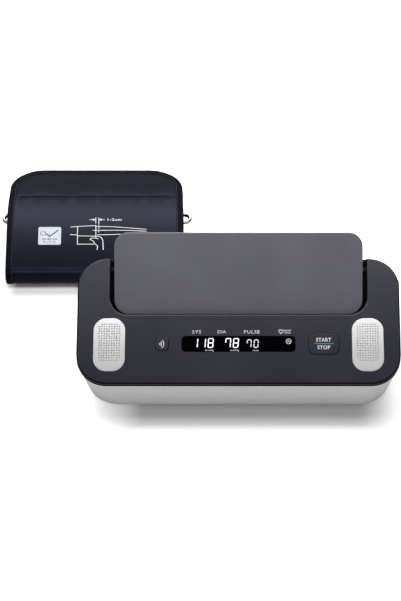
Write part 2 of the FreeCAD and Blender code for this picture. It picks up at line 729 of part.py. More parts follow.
def make_board_screws():
    screws = []
    under = BOARD_D - BOARD_THICK
    for x, s in board_posts():
        shank = slope_rod(BOARD_SCREW_R, BOARD_D + BOARD_SCREW_REACH, under, x, s)
        screws.append(shank.fuse(slope_rod(BOARD_SCREW_HEAD_R, under, under - BOARD_SCREW_HEAD, x, s)))
    return on_slope(Part.makeCompound(screws))


def make_board_chips():
    under = BOARD_D - BOARD_THICK
    chips = [slope_slab(centred(x, s, w, h, 0.0), under, under - t) for x, s, w, h, t in CHIPS]
    return on_slope(Part.makeCompound(chips))


def make_radio_module():
    base = slope_slab(centred(RADIO_X, RADIO_S, RADIO_WIDTH, RADIO_HEIGHT, 0.0),
                      BOARD_D + RADIO_BOARD, BOARD_D)
    can = slope_slab(centred(RADIO_CAN_X, RADIO_S, RADIO_CAN_WIDTH, RADIO_CAN_HEIGHT, 0.0),
                     BOARD_D + RADIO_CAN_TOP, BOARD_D + RADIO_BOARD)
    return on_slope(base.fuse(can).removeSplitter())


def make_buzzer():
    top = BOARD_D + BUZZER_TALL
    body = slope_rod(BUZZER_R, top, BOARD_D, BUZZER_X, BUZZER_S)
    return on_slope(body.cut(slope_rod(BUZZER_HOLE_R, top + PAST, top - 2 * PAST, BUZZER_X, BUZZER_S)))


# ---- air side ----
def make_pump_motor():
    start, end = MOTOR_X
    can = rod_x(MOTOR_R, start, end, AIR_Y, AIR_Z)
    cap = rod_x(MOTOR_CAP_R, end, end + MOTOR_CAP, AIR_Y, AIR_Z)
    shaft = rod_x(MOTOR_SHAFT_R, end + MOTOR_CAP, end + MOTOR_CAP + MOTOR_SHAFT, AIR_Y, AIR_Z)
    return can.fuse([cap, shaft]).removeSplitter()


def make_pump_head():
    corners = centred(AIR_Y, AIR_Z, 2 * HEAD_HALF, 2 * HEAD_HALF, HEAD_CORNER)
    face = Part.Face(corner_rounded(corners, 0.0))
    body = face.extrude(Vector(0, 0, HEAD_X[1] - HEAD_X[0]))
    body.Placement = FreeCAD.Placement(Vector(HEAD_X[0], 0, 0), FreeCAD.Rotation(Vector(1, 1, 1), 120))
    nipple = rod_x(NIPPLE_R, HEAD_X[0] - NIPPLE_LENGTH, HEAD_X[0], AIR_Y, AIR_Z)
    bore = rod_x(AIRWAY_R, HEAD_X[0] - NIPPLE_LENGTH - PAST, HEAD_X[0] + HEAD_AIRWAY, AIR_Y, AIR_Z)
    return body.fuse(nipple).cut(bore).removeSplitter()


def make_pump_mounts():
    mounts = []
    for x in MOUNT_X:
        end = x + MOUNT_WIDTH
        cradle = block(x, end, AIR_Y - MOUNT_HALF, AIR_Y + MOUNT_HALF, CASING_FLOOR, AIR_Z - MOUNT_DROP)
        mounts.append(cradle.cut(rod_x(MOTOR_R, x - PAST, end + PAST, AIR_Y, AIR_Z)))
    return Part.makeCompound(mounts)


def make_air_manifold():
    low, high = MANIFOLD_X
    half = MANIFOLD_HALF
    body = block(low, high, AIR_Y - half, AIR_Y + half, AIR_Z - half, AIR_Z + half)
    body = body.fuse(rod_x(NIPPLE_R, low - NIPPLE_LENGTH, high + NIPPLE_LENGTH, AIR_Y, AIR_Z))
    through = NIPPLE_LENGTH + PAST
    body = body.cut(rod_x(AIRWAY_R, low - through, high + through, AIR_Y, AIR_Z))
    middle = (low + high) / 2
    body = body.cut(rod_y(AIRWAY_R, AIR_Y, AIR_Y + half + PAST, middle, AIR_Z))
    return body.cut(rod_z(AIRWAY_R, AIR_Z, AIR_Z + half + PAST, middle, AIR_Y)).removeSplitter()


def make_air_tubes():
    spans = ((JACK_END_X, MANIFOLD_X[0]), (MANIFOLD_X[1], HEAD_X[0]))
    tubes = []
    for start, end in spans:
        tube = rod_x(TUBE_R, start, end, AIR_Y, AIR_Z)
        tubes.append(tube.cut(rod_x(NIPPLE_R, start - PAST, end + PAST, AIR_Y, AIR_Z)))
    return Part.makeCompound(tubes)


def make_exhaust_valve():
    middle = sum(MANIFOLD_X) / 2
    start = AIR_Y + MANIFOLD_HALF
    can_start = start + VALVE_NECK
    can_end = can_start + VALVE_LENGTH
    body = rod_y(VALVE_R, can_start, can_end, middle, AIR_Z)
    body = body.fuse(rod_y(VALVE_NECK_R, start, can_start, middle, AIR_Z))
    body = body.fuse(rod_y(VALVE_TIP_R, can_end, can_end + VALVE_TIP, middle, AIR_Z))
    return body.cut(rod_y(AIRWAY_R, start - PAST, can_start + PAST, middle, AIR_Z)).removeSplitter()


def make_pressure_sensor():
    middle = sum(MANIFOLD_X) / 2
    base = AIR_Z + MANIFOLD_HALF
    low = base + SENSOR_NECK
    body = block(middle - SENSOR_HALF, middle + SENSOR_HALF, AIR_Y - SENSOR_HALF, AIR_Y + SENSOR_HALF,
                 low, low + SENSOR_TALL)
    body = body.fuse(rod_z(SENSOR_NECK_R, base, low, middle, AIR_Y))
    return body.cut(rod_z(AIRWAY_R, base - PAST, low + PAST, middle, AIR_Y)).removeSplitter()


def make_air_jack():
    nipple_end = JACK_END_X + NIPPLE_LENGTH
    body = rod_x(JACK_R, JACK_FACE_X, JACK_END_X, AIR_Y, AIR_Z)
    body = body.fuse(rod_x(JACK_FLANGE_R, JACK_FLANGE_X[0], JACK_FLANGE_X[1], AIR_Y, AIR_Z))
    body = body.fuse(rod_x(NIPPLE_R, JACK_END_X, nipple_end, AIR_Y, AIR_Z))
    body = body.cut(rod_x(JACK_BORE_R, JACK_FACE_X - PAST, JACK_FACE_X + JACK_BORE_LENGTH, AIR_Y, AIR_Z))
    return body.cut(rod_x(AIRWAY_R, JACK_FACE_X, nipple_end + PAST, AIR_Y, AIR_Z)).removeSplitter()


# ---- power ----
def make_power_jack():
    half = POWER_BODY_HALF
    bottom = REAR_INNER_Y - POWER_BORE
    body = block(POWER_X - half, POWER_X + half, REAR_INNER_Y - POWER_BODY, REAR_INNER_Y,
                 POWER_Z - half, POWER_Z + half)
    body = body.fuse(rod_y(POWER_R, REAR_INNER_Y, REAR_Y - POWER_STEP, POWER_X, POWER_Z))
    body = body.cut(rod_y(POWER_BORE_R, bottom, REAR_Y + PAST, POWER_X, POWER_Z))
    return body.fuse(rod_y(POWER_PIN_R, bottom, REAR_Y - POWER_PIN_STEP, POWER_X, POWER_Z)).removeSplitter()


def cell_rows():
    """Heights of the two rows of cells."""
    low = BAY_LOW + CELL_R + CELL_LOW_GAP
    return (low, low + CELL_PITCH)


def make_battery_tray():
    low = BAY_LOW - BAY_WALL
    high = BAY_HIGH + BAY_WALL
    tray = block(-BAY_HALF - BAY_WALL, BAY_HALF + BAY_WALL, BAY_FRONT - BAY_WALL, REAR_INNER_Y, low, high)
    return tray.cut(block(-BAY_HALF, BAY_HALF, BAY_FRONT, REAR_INNER_Y + PAST, BAY_LOW, BAY_HIGH))


def make_cells():
    cells = []
    for z in cell_rows():
        for start in (-CELL_LENGTH - CELL_APART / 2, CELL_APART / 2):
            end = start + CELL_LENGTH
            can = rod_x(CELL_R, start, end - CELL_CAP, CELL_Y, z)
            cells.append(can.fuse(rod_x(CELL_CAP_R, end - CELL_CAP, end, CELL_Y, z)).removeSplitter())
    return Part.makeCompound(cells)


def make_battery_springs():
    """Springs at the flat ends of the cells, as tapered cones."""
    springs = []
    start = -BAY_HALF + LEAF_THICK
    length = BAY_HALF - LEAF_THICK - CELL_LENGTH - CELL_APART / 2
    for z in cell_rows():
        cone = Part.makeCone(SPRING_R[0], SPRING_R[1], length, Vector(start, CELL_Y, z), Vector(1, 0, 0))
        springs.append(cone.fuse(contact_leaf(-BAY_HALF, z)).removeSplitter())
    return Part.makeCompound(springs)


def contact_leaf(x, z):
    """Square sheet against an end wall of the bay."""
    return block(x, x + LEAF_THICK, CELL_Y - LEAF_HALF, CELL_Y + LEAF_HALF, z - LEAF_HALF, z + LEAF_HALF)


def make_battery_contacts():
    plates = []
    for z in cell_rows():
        bump = rod_x(CONTACT_BUMP_R, CELL_LENGTH + CELL_APART / 2, BAY_HALF - LEAF_THICK, CELL_Y, z)
        plates.append(bump.fuse(contact_leaf(BAY_HALF - LEAF_THICK, z)).removeSplitter())
    return Part.makeCompound(plates)


def make_battery_door():
    half = BAY_HALF - DOOR_GAP
    front = REAR_Y - DOOR_THICK
    top = BAY_HIGH - DOOR_GAP
    door = block(-half, half, front, REAR_Y, DOOR_AXIS_Z, top)
    door = door.fuse(rod_x(DOOR_THICK / 2, -half, half, DOOR_AXIS_Y, DOOR_AXIS_Z))
    stub_end = half + DOOR_STUB
    door = door.fuse(rod_x(DOOR_STUB_R, -stub_end, stub_end, DOOR_AXIS_Y, DOOR_AXIS_Z))
    scoop = rod_y(SCOOP_R, REAR_Y - SCOOP_DEPTH, REAR_Y + PAST, 0, top + SCOOP_RISE)
    return door.cut(scoop).removeSplitter()


def make_rubber_feet():
    return Part.makeCompound([rod_z(FOOT_R, 0, FOOT_HEIGHT + FOOT_SINK, x, y) for x, y in foot_places()])


def make_casing_screws():
    screws = []
    for x, y in post_places():
        head_low = SCREW_HEAD_TOP - SCREW_HEAD
        head = rod_z(SCREW_HEAD_R, head_low, SCREW_HEAD_TOP, x, y)
        head = head.cut(rod_z(SCREW_SOCKET_R, head_low - PAST, head_low + SCREW_SOCKET, x, y))
        shank = rod_z(SCREW_R, SCREW_HEAD_TOP, POST_TOP_Z + SCREW_REACH, x, y)
        screws.append(head.fuse(shank).removeSplitter())
    return Part.makeCompound(screws)


# ---- cuff ----
def cuff_middle(y):
    """Where the cuff's slanting middle line is."""
    return CUFF_MID_X - CUFF_LEAN * (y - CUFF_SEAM_Y)


def leaning(x0, x1, y0, y1, front_radius, rear_radius):
    """Corner list of a four-sided outline about the cuff's middle line, leaning with it."""
    front = cuff_middle(y0)
    rear = cuff_middle(y1)
    return [(front + x0, y0, front_radius), (front + x1, y0, front_radius),
            (rear + x1, y1, rear_radius), (rear + x0, y1, rear_radius)]


def cuff_port_x():
    """The inner section's right edge beside the hose port."""
    return cuff_middle(HOSE_PORT_Y) + CUFF_WIDTH / 2 - CUFF_PAD_INSET


def cuff_profile(thick):
    """Side view of the folded wrap: under ply, front fold, upper ply, sloping rear flap."""
    outer_r = CUFF_HEIGHT / 2
    inner_r = outer_r - thick
    fold_y = CUFF_FRONT_Y + outer_r
    drop = CUFF_REAR_HEIGHT - thick

    def at(y, z):
        return Vector(0, y, z)

    edges = [
        Part.LineSegment(at(CUFF_UNDER_REAR_Y, 0), at(fold_y, 0)).toShape(),
        Part.Arc(at(fold_y, 0), at(CUFF_FRONT_Y, outer_r), at(fold_y, CUFF_HEIGHT)).toShape(),
        Part.LineSegment(at(fold_y, CUFF_HEIGHT), at(CUFF_SEAM_Y, CUFF_HEIGHT)).toShape(),
        Part.LineSegment(at(CUFF_SEAM_Y, CUFF_HEIGHT), at(CUFF_REAR_Y, CUFF_REAR_HEIGHT)).toShape(),
        Part.LineSegment(at(CUFF_REAR_Y, CUFF_REAR_HEIGHT), at(CUFF_REAR_Y, drop)).toShape(),
        Part.LineSegment(at(CUFF_REAR_Y, drop), at(CUFF_SEAM_Y, CUFF_HEIGHT - thick)).toShape(),
        Part.LineSegment(at(CUFF_SEAM_Y, CUFF_HEIGHT - thick), at(fold_y, CUFF_HEIGHT - thick)).toShape(),
        Part.Arc(at(fold_y, CUFF_HEIGHT - thick), at(fold_y - inner_r, outer_r), at(fold_y, thick)).toShape(),
        Part.LineSegment(at(fold_y, thick), at(CUFF_UNDER_REAR_Y, thick)).toShape(),
        Part.LineSegment(at(CUFF_UNDER_REAR_Y, thick), at(CUFF_UNDER_REAR_Y, 0)).toShape()]
    return Part.Face(Part.Wire(edges))


def cuff_plan(inset):
    """Upright column over the wrap's outline, rounded at the two rear corners."""
    half = CUFF_WIDTH / 2 - inset
    corners = leaning(-half, half, CUFF_FRONT_Y - PAST, CUFF_REAR_Y - inset, 0.0, CUFF_CORNER - inset)
    return upright_slab(corners, -PAST, CUFF_HEIGHT + PAST)


def full_wrap():
    """The whole wrap, cloth and binding together."""
    face = cuff_profile(CUFF_CLOTH)
    face.translate(Vector(CUFF_MID_X - CUFF_WIDTH, 0, 0))
    return face.extrude(Vector(2 * CUFF_WIDTH, 0, 0)).common(cuff_plan(0.0))


def make_cuff_wrap():
    return full_wrap().common(cuff_plan(CUFF_BINDING)).removeSplitter()


def make_cuff_binding():
    return full_wrap().cut(cuff_plan(CUFF_BINDING)).removeSplitter()


def make_cuff_bladder():
    middle = CUFF_HEIGHT / 2
    centre = cuff_middle(HOSE_PORT_Y)
    return block(centre - BLADDER_HALF, centre + BLADDER_HALF,
                 CUFF_PAD_FRONT + BLADDER_INSET, CUFF_PAD_REAR - BLADDER_INSET,
                 middle - BLADDER_THICK / 2, middle + BLADDER_THICK / 2)


def make_cuff_inner_section():
    half = CUFF_WIDTH / 2 - CUFF_PAD_INSET
    low = CUFF_CLOTH + CUFF_PLY_GAP
    high = CUFF_HEIGHT - CUFF_CLOTH - CUFF_PLY_GAP
    corners = leaning(-half, half, CUFF_PAD_FRONT, CUFF_PAD_REAR, CUFF_PAD_CORNER, CUFF_PAD_CORNER)
    pad = upright_slab(corners, low, high)
    front = CUFF_PAD_FRONT + 2 * CUFF_PAD_CORNER
    faces = (low, high)
    pad = round_edges(pad, CUFF_PAD_ROUND,
                      lambda p: p.y < front and min(abs(p.z - z) for z in faces) < NEAR_ZERO)
    return pad.cut([make_cuff_bladder(), hose_port_body(PAST)]).removeSplitter()


def make_cuff_hose_port():
    start = cuff_port_x()
    end = start + HOSE_PORT_LENGTH
    spigot = rod_x(HOSE_PORT_R, start, end, HOSE_PORT_Y, HOSE_PORT_Z)
    bore_start = cuff_middle(HOSE_PORT_Y) + BLADDER_HALF + HOSE_BORE_INSET
    bore = rod_x(HOSE_BORE_R, bore_start, end + PAST, HOSE_PORT_Y, HOSE_PORT_Z)
    return hose_port_body(0.0).fuse(spigot).cut(bore).removeSplitter()


def hose_port_body(extra):
    """The port's part inside the cuff, from the bladder to the inner section's edge."""
    return rod_x(HOSE_PORT_R + HOSE_PORT_WALL, cuff_middle(HOSE_PORT_Y) + BLADDER_HALF,
                 cuff_port_x() + extra, HOSE_PORT_Y, HOSE_PORT_Z)


def ring_middle_x():
    """The ring's middle, on the cuff's middle line."""
    return cuff_middle(RING_BAR_Y + RING_BAR_GAP / 2)


def ring_path():
    """Centre line of the wire ring: two bars joined by half circles."""
    radius = RING_BAR_GAP / 2
    left = ring_middle_x() - RING_HALF + radius
    right = ring_middle_x() + RING_HALF - radius
    far = RING_BAR_Y + RING_BAR_GAP
    middle = RING_BAR_Y + radius
    edges = [
        Part.LineSegment(Vector(left, RING_BAR_Y, RING_Z), Vector(right, RING_BAR_Y, RING_Z)).toShape(),
        Part.Arc(Vector(right, RING_BAR_Y, RING_Z), Vector(right + radius, middle, RING_Z),
                 Vector(right, far, RING_Z)).toShape(),
        Part.LineSegment(Vector(right, far, RING_Z), Vector(left, far, RING_Z)).toShape(),
        Part.Arc(Vector(left, far, RING_Z), Vector(left - radius, middle, RING_Z),
                 Vector(left, RING_BAR_Y, RING_Z)).toShape()]
    return Part.Wire(edges)


def make_cuff_ring():
    start = Vector(ring_middle_x() - RING_HALF + RING_BAR_GAP / 2, RING_BAR_Y, RING_Z)
    circle = Part.Circle(start, Vector(1, 0, 0), RING_WIRE_R).toShape()
    return ring_path().makePipeShell([Part.Wire(circle)], True, True)


def make_cuff_ring_loop():
    """Cloth loop round the front bar, sewn to the end of the inner section."""
    low = ring_middle_x() - RING_LOOP_HALF
    high = ring_middle_x() + RING_LOOP_HALF
    loop = rod_x(RING_LOOP_R, low, high, RING_BAR_Y, RING_Z)
    tab = block(low, high, CUFF_PAD_REAR, RING_BAR_Y, RING_Z - RING_TAB_HALF, RING_Z + RING_TAB_HALF)
    room = rod_x(RING_WIRE_R + RING_PLAY, low - PAST, high + PAST, RING_BAR_Y, RING_Z)
    return loop.fuse(tab).cut(room).removeSplitter()


def make_hook_patch():
    corners = leaning(-HOOK_HALF, HOOK_HALF, HOOK_Y[0], HOOK_Y[1], HOOK_CORNER, HOOK_CORNER)
    return upright_slab(corners, CUFF_CLOTH, CUFF_CLOTH + HOOK_THICK)


def make_size_label():
    corners = leaning(LABEL_X[0], LABEL_X[1], LABEL_Y[0], LABEL_Y[1], LABEL_CORNER, LABEL_CORNER)
    return upright_slab(corners, CUFF_HEIGHT, CUFF_HEIGHT + LABEL_THICK)


NODES = {
    "top_cover": make_top_cover,
    "lower_casing": make_lower_casing,
    "cradle_well": make_cradle_well,
    "phone_ledge": make_phone_ledge,
    "phone_stand": make_phone_stand,
    "stand_pins": make_stand_pins,
    "stand_bushes": make_stand_bushes,
    "stand_stops": make_stand_stops,
    "display_lens": make_display_lens,
    "display_module": make_display_module,
    "display_frame": make_display_frame,
    "start_stop_button": lambda: make_button(*buttons()[0]),
    "connection_button": lambda: make_button(*buttons()[1]),
    "key_switches": make_key_switches,
    "thumb_electrode_left": lambda: make_thumb_electrode(-1),
    "thumb_electrode_right": lambda: make_thumb_electrode(1),
    "electrode_contacts": make_electrode_contacts,
    "main_board": make_main_board,
    "board_screws": make_board_screws,
    "board_chips": make_board_chips,
    "radio_module": make_radio_module,
    "buzzer": make_buzzer,
    "pump_motor": make_pump_motor,
    "pump_head": make_pump_head,
    "pump_mounts": make_pump_mounts,
    "air_manifold": make_air_manifold,
    "air_tubes": make_air_tubes,
    "exhaust_valve": make_exhaust_valve,
    "pressure_sensor": make_pressure_sensor,
    "air_jack": make_air_jack,
    "power_jack": make_power_jack,
    "battery_tray": make_battery_tray,
    "battery_cells": make_cells,
    "battery_springs": make_battery_springs,
    "battery_contacts": make_battery_contacts,
    "battery_door": make_battery_door,
    "rubber_feet": make_rubber_feet,
    "casing_screws": make_casing_screws,
    "cuff_wrap": make_cuff_wrap,
    "cuff_binding": make_cuff_binding,
    "cuff_inner_section": make_cuff_inner_section,
    "cuff_bladder": make_cuff_bladder,
    "cuff_hose_port": make_cuff_hose_port,
    "cuff_ring": make_cuff_ring,
    "cuff_ring_loop": make_cuff_ring_loop,
    "cuff_hook_patch": make_hook_patch,
    "cuff_size_label": make_size_label,
}


def set_centre():
    """Middle of the whole set in plan, between the cover's edges, the ring's tip and the cuff's rear."""
    ring_tip = ring_middle_x() - RING_HALF - RING_WIRE_R
    return Vector((ring_tip + HALF) / 2, CUFF_REAR_Y / 2, 0)


def main():
    os.makedirs("parts", exist_ok=True)
    shift = set_centre() * -1
    for name, make in NODES.items():
        shape = make()
        shape.translate(shift)
        shape.exportStep("parts/%s.step" % name)
        measures = (name, len(shape.Solids), shape.isValid(), shape.Volume)
        print("%-24s solids %d valid %s volume %.0f" % measures)
    print("shift %.3f %.3f" % (shift.x, shift.y))
    print("stand axis y %.3f z %.3f" % (AXIS_Y, AXIS_Z))
    print("door axis y %.3f z %.3f" % (DOOR_AXIS_Y, DOOR_AXIS_Z))


main()
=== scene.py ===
import json
import logging
import math
from abc import ABC, abstractmethod
from collections.abc import Callable, Iterable
from dataclasses import dataclass, replace
from enum import Enum
from functools import cache
from typing import Any

import bmesh
import bpy
import numpy as np
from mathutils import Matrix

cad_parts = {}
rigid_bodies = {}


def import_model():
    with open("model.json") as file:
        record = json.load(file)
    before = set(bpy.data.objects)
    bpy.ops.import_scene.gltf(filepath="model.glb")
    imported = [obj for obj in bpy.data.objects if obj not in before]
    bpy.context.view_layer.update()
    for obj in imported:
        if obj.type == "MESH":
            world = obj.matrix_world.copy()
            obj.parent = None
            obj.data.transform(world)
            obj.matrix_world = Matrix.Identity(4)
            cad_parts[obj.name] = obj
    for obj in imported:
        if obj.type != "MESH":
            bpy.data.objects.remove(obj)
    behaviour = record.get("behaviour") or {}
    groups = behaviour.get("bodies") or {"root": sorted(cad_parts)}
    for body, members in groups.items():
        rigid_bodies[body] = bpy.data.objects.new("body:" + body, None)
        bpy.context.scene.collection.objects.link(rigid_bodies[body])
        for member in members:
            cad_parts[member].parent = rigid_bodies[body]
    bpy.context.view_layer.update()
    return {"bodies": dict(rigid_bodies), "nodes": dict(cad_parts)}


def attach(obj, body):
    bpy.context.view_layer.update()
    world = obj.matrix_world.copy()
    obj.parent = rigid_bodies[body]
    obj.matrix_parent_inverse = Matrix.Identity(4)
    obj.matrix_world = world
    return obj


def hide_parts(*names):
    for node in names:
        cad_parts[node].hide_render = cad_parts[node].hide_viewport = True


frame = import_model()

log = logging.getLogger("monitor")
Array = np.ndarray
Pair = tuple[float, float]
Triple = tuple[float, float, float]
Placing = Callable[[np.ndarray], np.ndarray]
MM = 0.001
ORIGIN_SHIFT = np.array([38.43955, -131.65, 0.0])  # from the maker's drawing to the frame
SLOPE = math.radians(30.0)  # tilt of the monitor's face
FRONT_EDGE_Z = 33.0
CUFF_LEAN = 0.054  # sideways run of the cuff's middle line for each length to the rear
CUFF_SEAM_Y = 221.3
CUFF_MIDDLE_X = -118.2
RING_MIDDLE_X = -117.4791
RING_BAR_Y = 203.3
RING_BAR_Z = 6.6
PRINT_SINK, PRINT_RISE = 0.01, 0.02  # how far a flat print lies below and above its surface
CAPITAL_SHARE = 0.729  # a capital's height as a share of the type's size


# ---------------------------------------------------------------- places
def to_frame(points: Array) -> Array:
    """Moves points from the drawing to the frame.

    Args:
        points: millimetres, last axis x, y, z.
    Returns:
        The shifted points in metres.
    """
    return (points + ORIGIN_SHIFT) * MM


def on_slope(points: Array) -> Array:
    """Puts points given on the sloped face into the frame.

    A point (x, s, d) lies s up the face and d off it: y = s cos a - d sin a and
    z = front edge + s sin a + d cos a, with a the tilt of the face.

    Args:
        points: millimetres, last axis x, s, d.
    Returns:
        Points in metres.
    """
    x, s, d = np.moveaxis(points, -1, 0)
    y = s * math.cos(SLOPE) - d * math.sin(SLOPE)
    z = FRONT_EDGE_Z + s * math.sin(SLOPE) + d * math.cos(SLOPE)
    return to_frame(np.stack([x, y, z], -1))


def on_cuff(points: Array) -> Array:
    """Puts points given on a square cuff into the frame.

    The folded cuff lies skewed: x moves left by the lean times the way behind the seam.

    Args:
        points: millimetres, last axis x, y, z.
    Returns:
        Points in metres.
    """
    x, y, z = np.moveaxis(points, -1, 0)
    return to_frame(np.stack([x - CUFF_LEAN * (y - CUFF_SEAM_Y), y, z], -1))


def on_rim(points: Array) -> Array:
    """Puts points given on the upright rim of the monitor's face into the frame.

    A point (x, s, h) lies s up the face and then h straight down: y = s cos a and
    z = front edge + s sin a - h.

    Args:
        points: millimetres, last axis x, s, h.
    Returns:
        Points in metres.
    """
    x, s, h = np.moveaxis(points, -1, 0)
    return to_frame(np.stack([x, s * math.cos(SLOPE), FRONT_EDGE_Z + s * math.sin(SLOPE) - h], -1))


# ---------------------------------------------------------------- lines
def unit(vectors: Array) -> Array:
    """Vectors of the last axis brought to length 1."""
    return vectors / np.maximum(np.linalg.norm(vectors, axis=-1, keepdims=True), 1e-9)


def bell(t: Array, middle: float, reach: float) -> Array:
    """A smooth hump of height 1: e to the power of minus the square of the way over the reach."""
    return np.exp(-((t - middle) / reach) ** 2)


def lengths(path: Array) -> Array:
    """The way along a path to each of its points."""
    return np.concatenate([[0], np.cumsum(np.linalg.norm(np.diff(path, axis=0), axis=1))])


def ring_tangents(path: Array) -> Array:
    """Directions along a closed path, each from the point before to the point after."""
    return unit(np.roll(path, -1, 0) - np.roll(path, 1, 0))


def at_height(outline: Array, z: float) -> Array:
    """The points of a flat outline at one height."""
    return np.column_stack([outline, np.full(len(outline), z)])


def arc(radius: float, start: float, end: float, steps: int = 24) -> Array:
    """Points on a circle about the origin, between two angles in degrees."""
    angles = np.radians(np.linspace(start, end, steps + 1))
    return radius * np.stack([np.cos(angles), np.sin(angles)], -1)


def rounded_box(width: float, height: float, radius: float, steps: int = 6) -> Array:
    """Outline of a rectangle with round corners about the origin.

    Each corner is a quarter circle about a centre that lies one radius inside both sides.

    Args:
        width: full width.
        height: full height.
        radius: corner radius.
        steps: spans in each corner.
    Returns:
        (n, 2) points, counter-clockwise.
    """
    quarter = np.linspace(0, math.pi / 2, steps + 1)
    angles = (quarter[None, :] + np.arange(4)[:, None] * math.pi / 2).reshape(-1)
    signs = np.array([[1, 1], [-1, 1], [-1, -1], [1, -1]]).repeat(steps + 1, 0)
    centres = signs * [width / 2 - radius, height / 2 - radius]
    return centres + radius * np.stack([np.cos(angles), np.sin(angles)], -1)


# ---------------------------------------------------------------- shapes
@dataclass
class Shape:
    """Points in millimetres with blocks of faces that have equal corner counts."""

    points: Array
    faces: list[Array]
    uv: Array | None = None

    def moved(self, dx: float, dy: float) -> "Shape":
        """The same shape, shifted."""
        return Shape(self.points + np.array([dx, dy, 0.0]), self.faces, self.uv)


def joined(shapes: Iterable[Shape]) -> Shape:
    """Puts several shapes without a map into one, without welding them.

    Args:
        shapes: shapes in the same coordinates.
    Returns:
        One shape with all their points and faces.
    """
    parts = list(shapes)
    starts = np.cumsum([0] + [len(part.points) for part in parts])
    faces = [block + start for part, start in zip(parts, starts) for block in part.faces]
    return Shape(np.concatenate([part.points for part in parts]), faces)


def grid_quads(rows: int, columns: int, ring_rows: bool = False, ring_columns: bool = False) -> Array:
    """Faces of a grid whose points are numbered row after row.

    Args:
        rows: number of rows of points.
        columns: number of points in a row.
        ring_rows: the last row joins the first.
        ring_columns: the last column joins the first.
    Returns:
        Corner numbers, four to a face.
    """
    r = np.arange(rows if ring_rows else rows - 1)[:, None]
    c = np.arange(columns if ring_columns else columns - 1)[None, :]
    r_next, c_next = (r + 1) % rows, (c + 1) % columns
    corners = [r * columns + c, r * columns + c_next, r_next * columns + c_next, r_next * columns + c]
    return np.stack(corners, -1).reshape(-1, 4)


def end_strips(rows: int, columns: int) -> list[Array]:
    """Faces that close the first and last row of a flattened tube.

    A row runs over one side of the tube and back over the other, so each face joins a
    span of its first half to the span that lies opposite.

    Args:
        rows: number of rows of points.
        columns: number of points in a row, both sides together.
    Returns:
        A block of faces for each end.
    """
    there = np.arange(columns // 2 - 1)
    back = columns - 1 - there
    strip = np.stack([there, back, back - 1, there + 1], -1)
    return [strip, (strip + (rows - 1) * columns)[:, ::-1]]


def prism(outline: Array, low: float, high: float) -> Shape:
    """A flat outline carried straight from one height to another.

    Args:
        outline: (n, 2) corners in order.
        low: height of the lower face.
        high: height of the upper face.
    Returns:
        A closed solid.
    """
    return stacked([at_height(outline, z) for z in (low, high)])


def stacked(layers: list[Array]) -> Shape:
    """Outlines with equal numbers of points, joined one above the other and closed at both ends.

    Args:
        layers: (n, 3) points of each outline, from the lowest.
    Returns:
        A closed solid.
    """
    n = len(layers[0])
    around = np.arange(n)
    return Shape(np.concatenate(layers), [grid_quads(len(layers), n, ring_columns=True),
                                          around[::-1][None], (around + (len(layers) - 1) * n)[None]])


def ribbon(path: Array, width: float, low: float, high: float, closed: bool = False) -> Shape:
    """A flat strip of even width along a path in a plane.

    The rectangle width by (high - low) is carried along the path, square to the mean of
    the two runs that meet at each point.

    Args:
        path: (n, 2) points in order.
        width: full width of the strip.
        low: height of its lower face.
        high: height of its upper face.
        closed: the path's last point joins its first.
    Returns:
        A closed solid.
    """
    runs = unit(np.roll(path, -1, 0) - path)
    before = np.roll(runs, 1, 0)
    if not closed:
        runs[-1], before[0] = runs[-2], runs[0]
    mean = unit(runs + before)
    stretch = 1 / np.maximum((mean * runs).sum(1, keepdims=True), 0.5)
    side = np.stack([-mean[:, 1], mean[:, 0]], -1) * stretch * width / 2
    rims = [(path + side, high), (path - side, high), (path - side, low), (path + side, low)]
    points = np.stack([at_height(xy, z) for xy, z in rims], 1)
    faces = [grid_quads(len(path), 4, ring_rows=closed, ring_columns=True)]
    if not closed:
        last = 4 * (len(path) - 1)
        faces.append(np.array([[3, 2, 1, 0], [last, last + 1, last + 2, last + 3]]))
    return Shape(points.reshape(-1, 3), faces)


class Weight(Enum):
    """How heavy a line of lettering is, as growth of its strokes."""

    PLAIN = 0.0
    BOLD = 0.022


def lettering(words: str, capital: float, low: float, high: float,
              weight: Weight = Weight.PLAIN, width: float = 0.0) -> Shape:
    """Plain letters as thin solids, centred on the origin.

    Args:
        words: generic words or numbers.
        capital: height of a capital letter.
        low: height of the letters' lower face.
        high: height of their upper face.
        weight: stroke weight.
        width: width the line is brought to, 0 as the type has it.
    Returns:
        Closed solids of all the letters.
    """
    curve = bpy.data.curves.new("letters", "FONT")
    curve.body = words
    curve.align_x, curve.align_y = "CENTER", "CENTER"
    curve.offset, curve.space_character = weight.value, 1.1
    curve.resolution_u = 3
    curve.extrude = 0.5
    holder = bpy.data.objects.new("letters", curve)
    bpy.context.scene.collection.objects.link(holder)
    mesh = bpy.data.meshes.new_from_object(holder)
    cleaner = bmesh.new()
    cleaner.from_mesh(mesh)
    bmesh.ops.remove_doubles(cleaner, verts=cleaner.verts, dist=1e-5)
    points = np.array([v.co for v in cleaner.verts])
    cleaner.verts.index_update()
    corners = [[v.index for v in f.verts] for f in cleaner.faces]
    cleaner.free()
    bpy.data.objects.remove(holder)
    bpy.data.curves.remove(curve)
    bpy.data.meshes.remove(mesh)
    middle = (points[:, :2].min(0) + points[:, :2].max(0)) / 2
    points[:, :2] = (points[:, :2] - middle) * capital / CAPITAL_SHARE
    points[:, 2] = np.where(points[:, 2] > 0, high, low)
    if width:
        points[:, 0] *= width / np.ptp(points[:, 0])
    sizes = sorted({len(c) for c in corners})
    return Shape(points, [np.array([c for c in corners if len(c) == n]) for n in sizes])


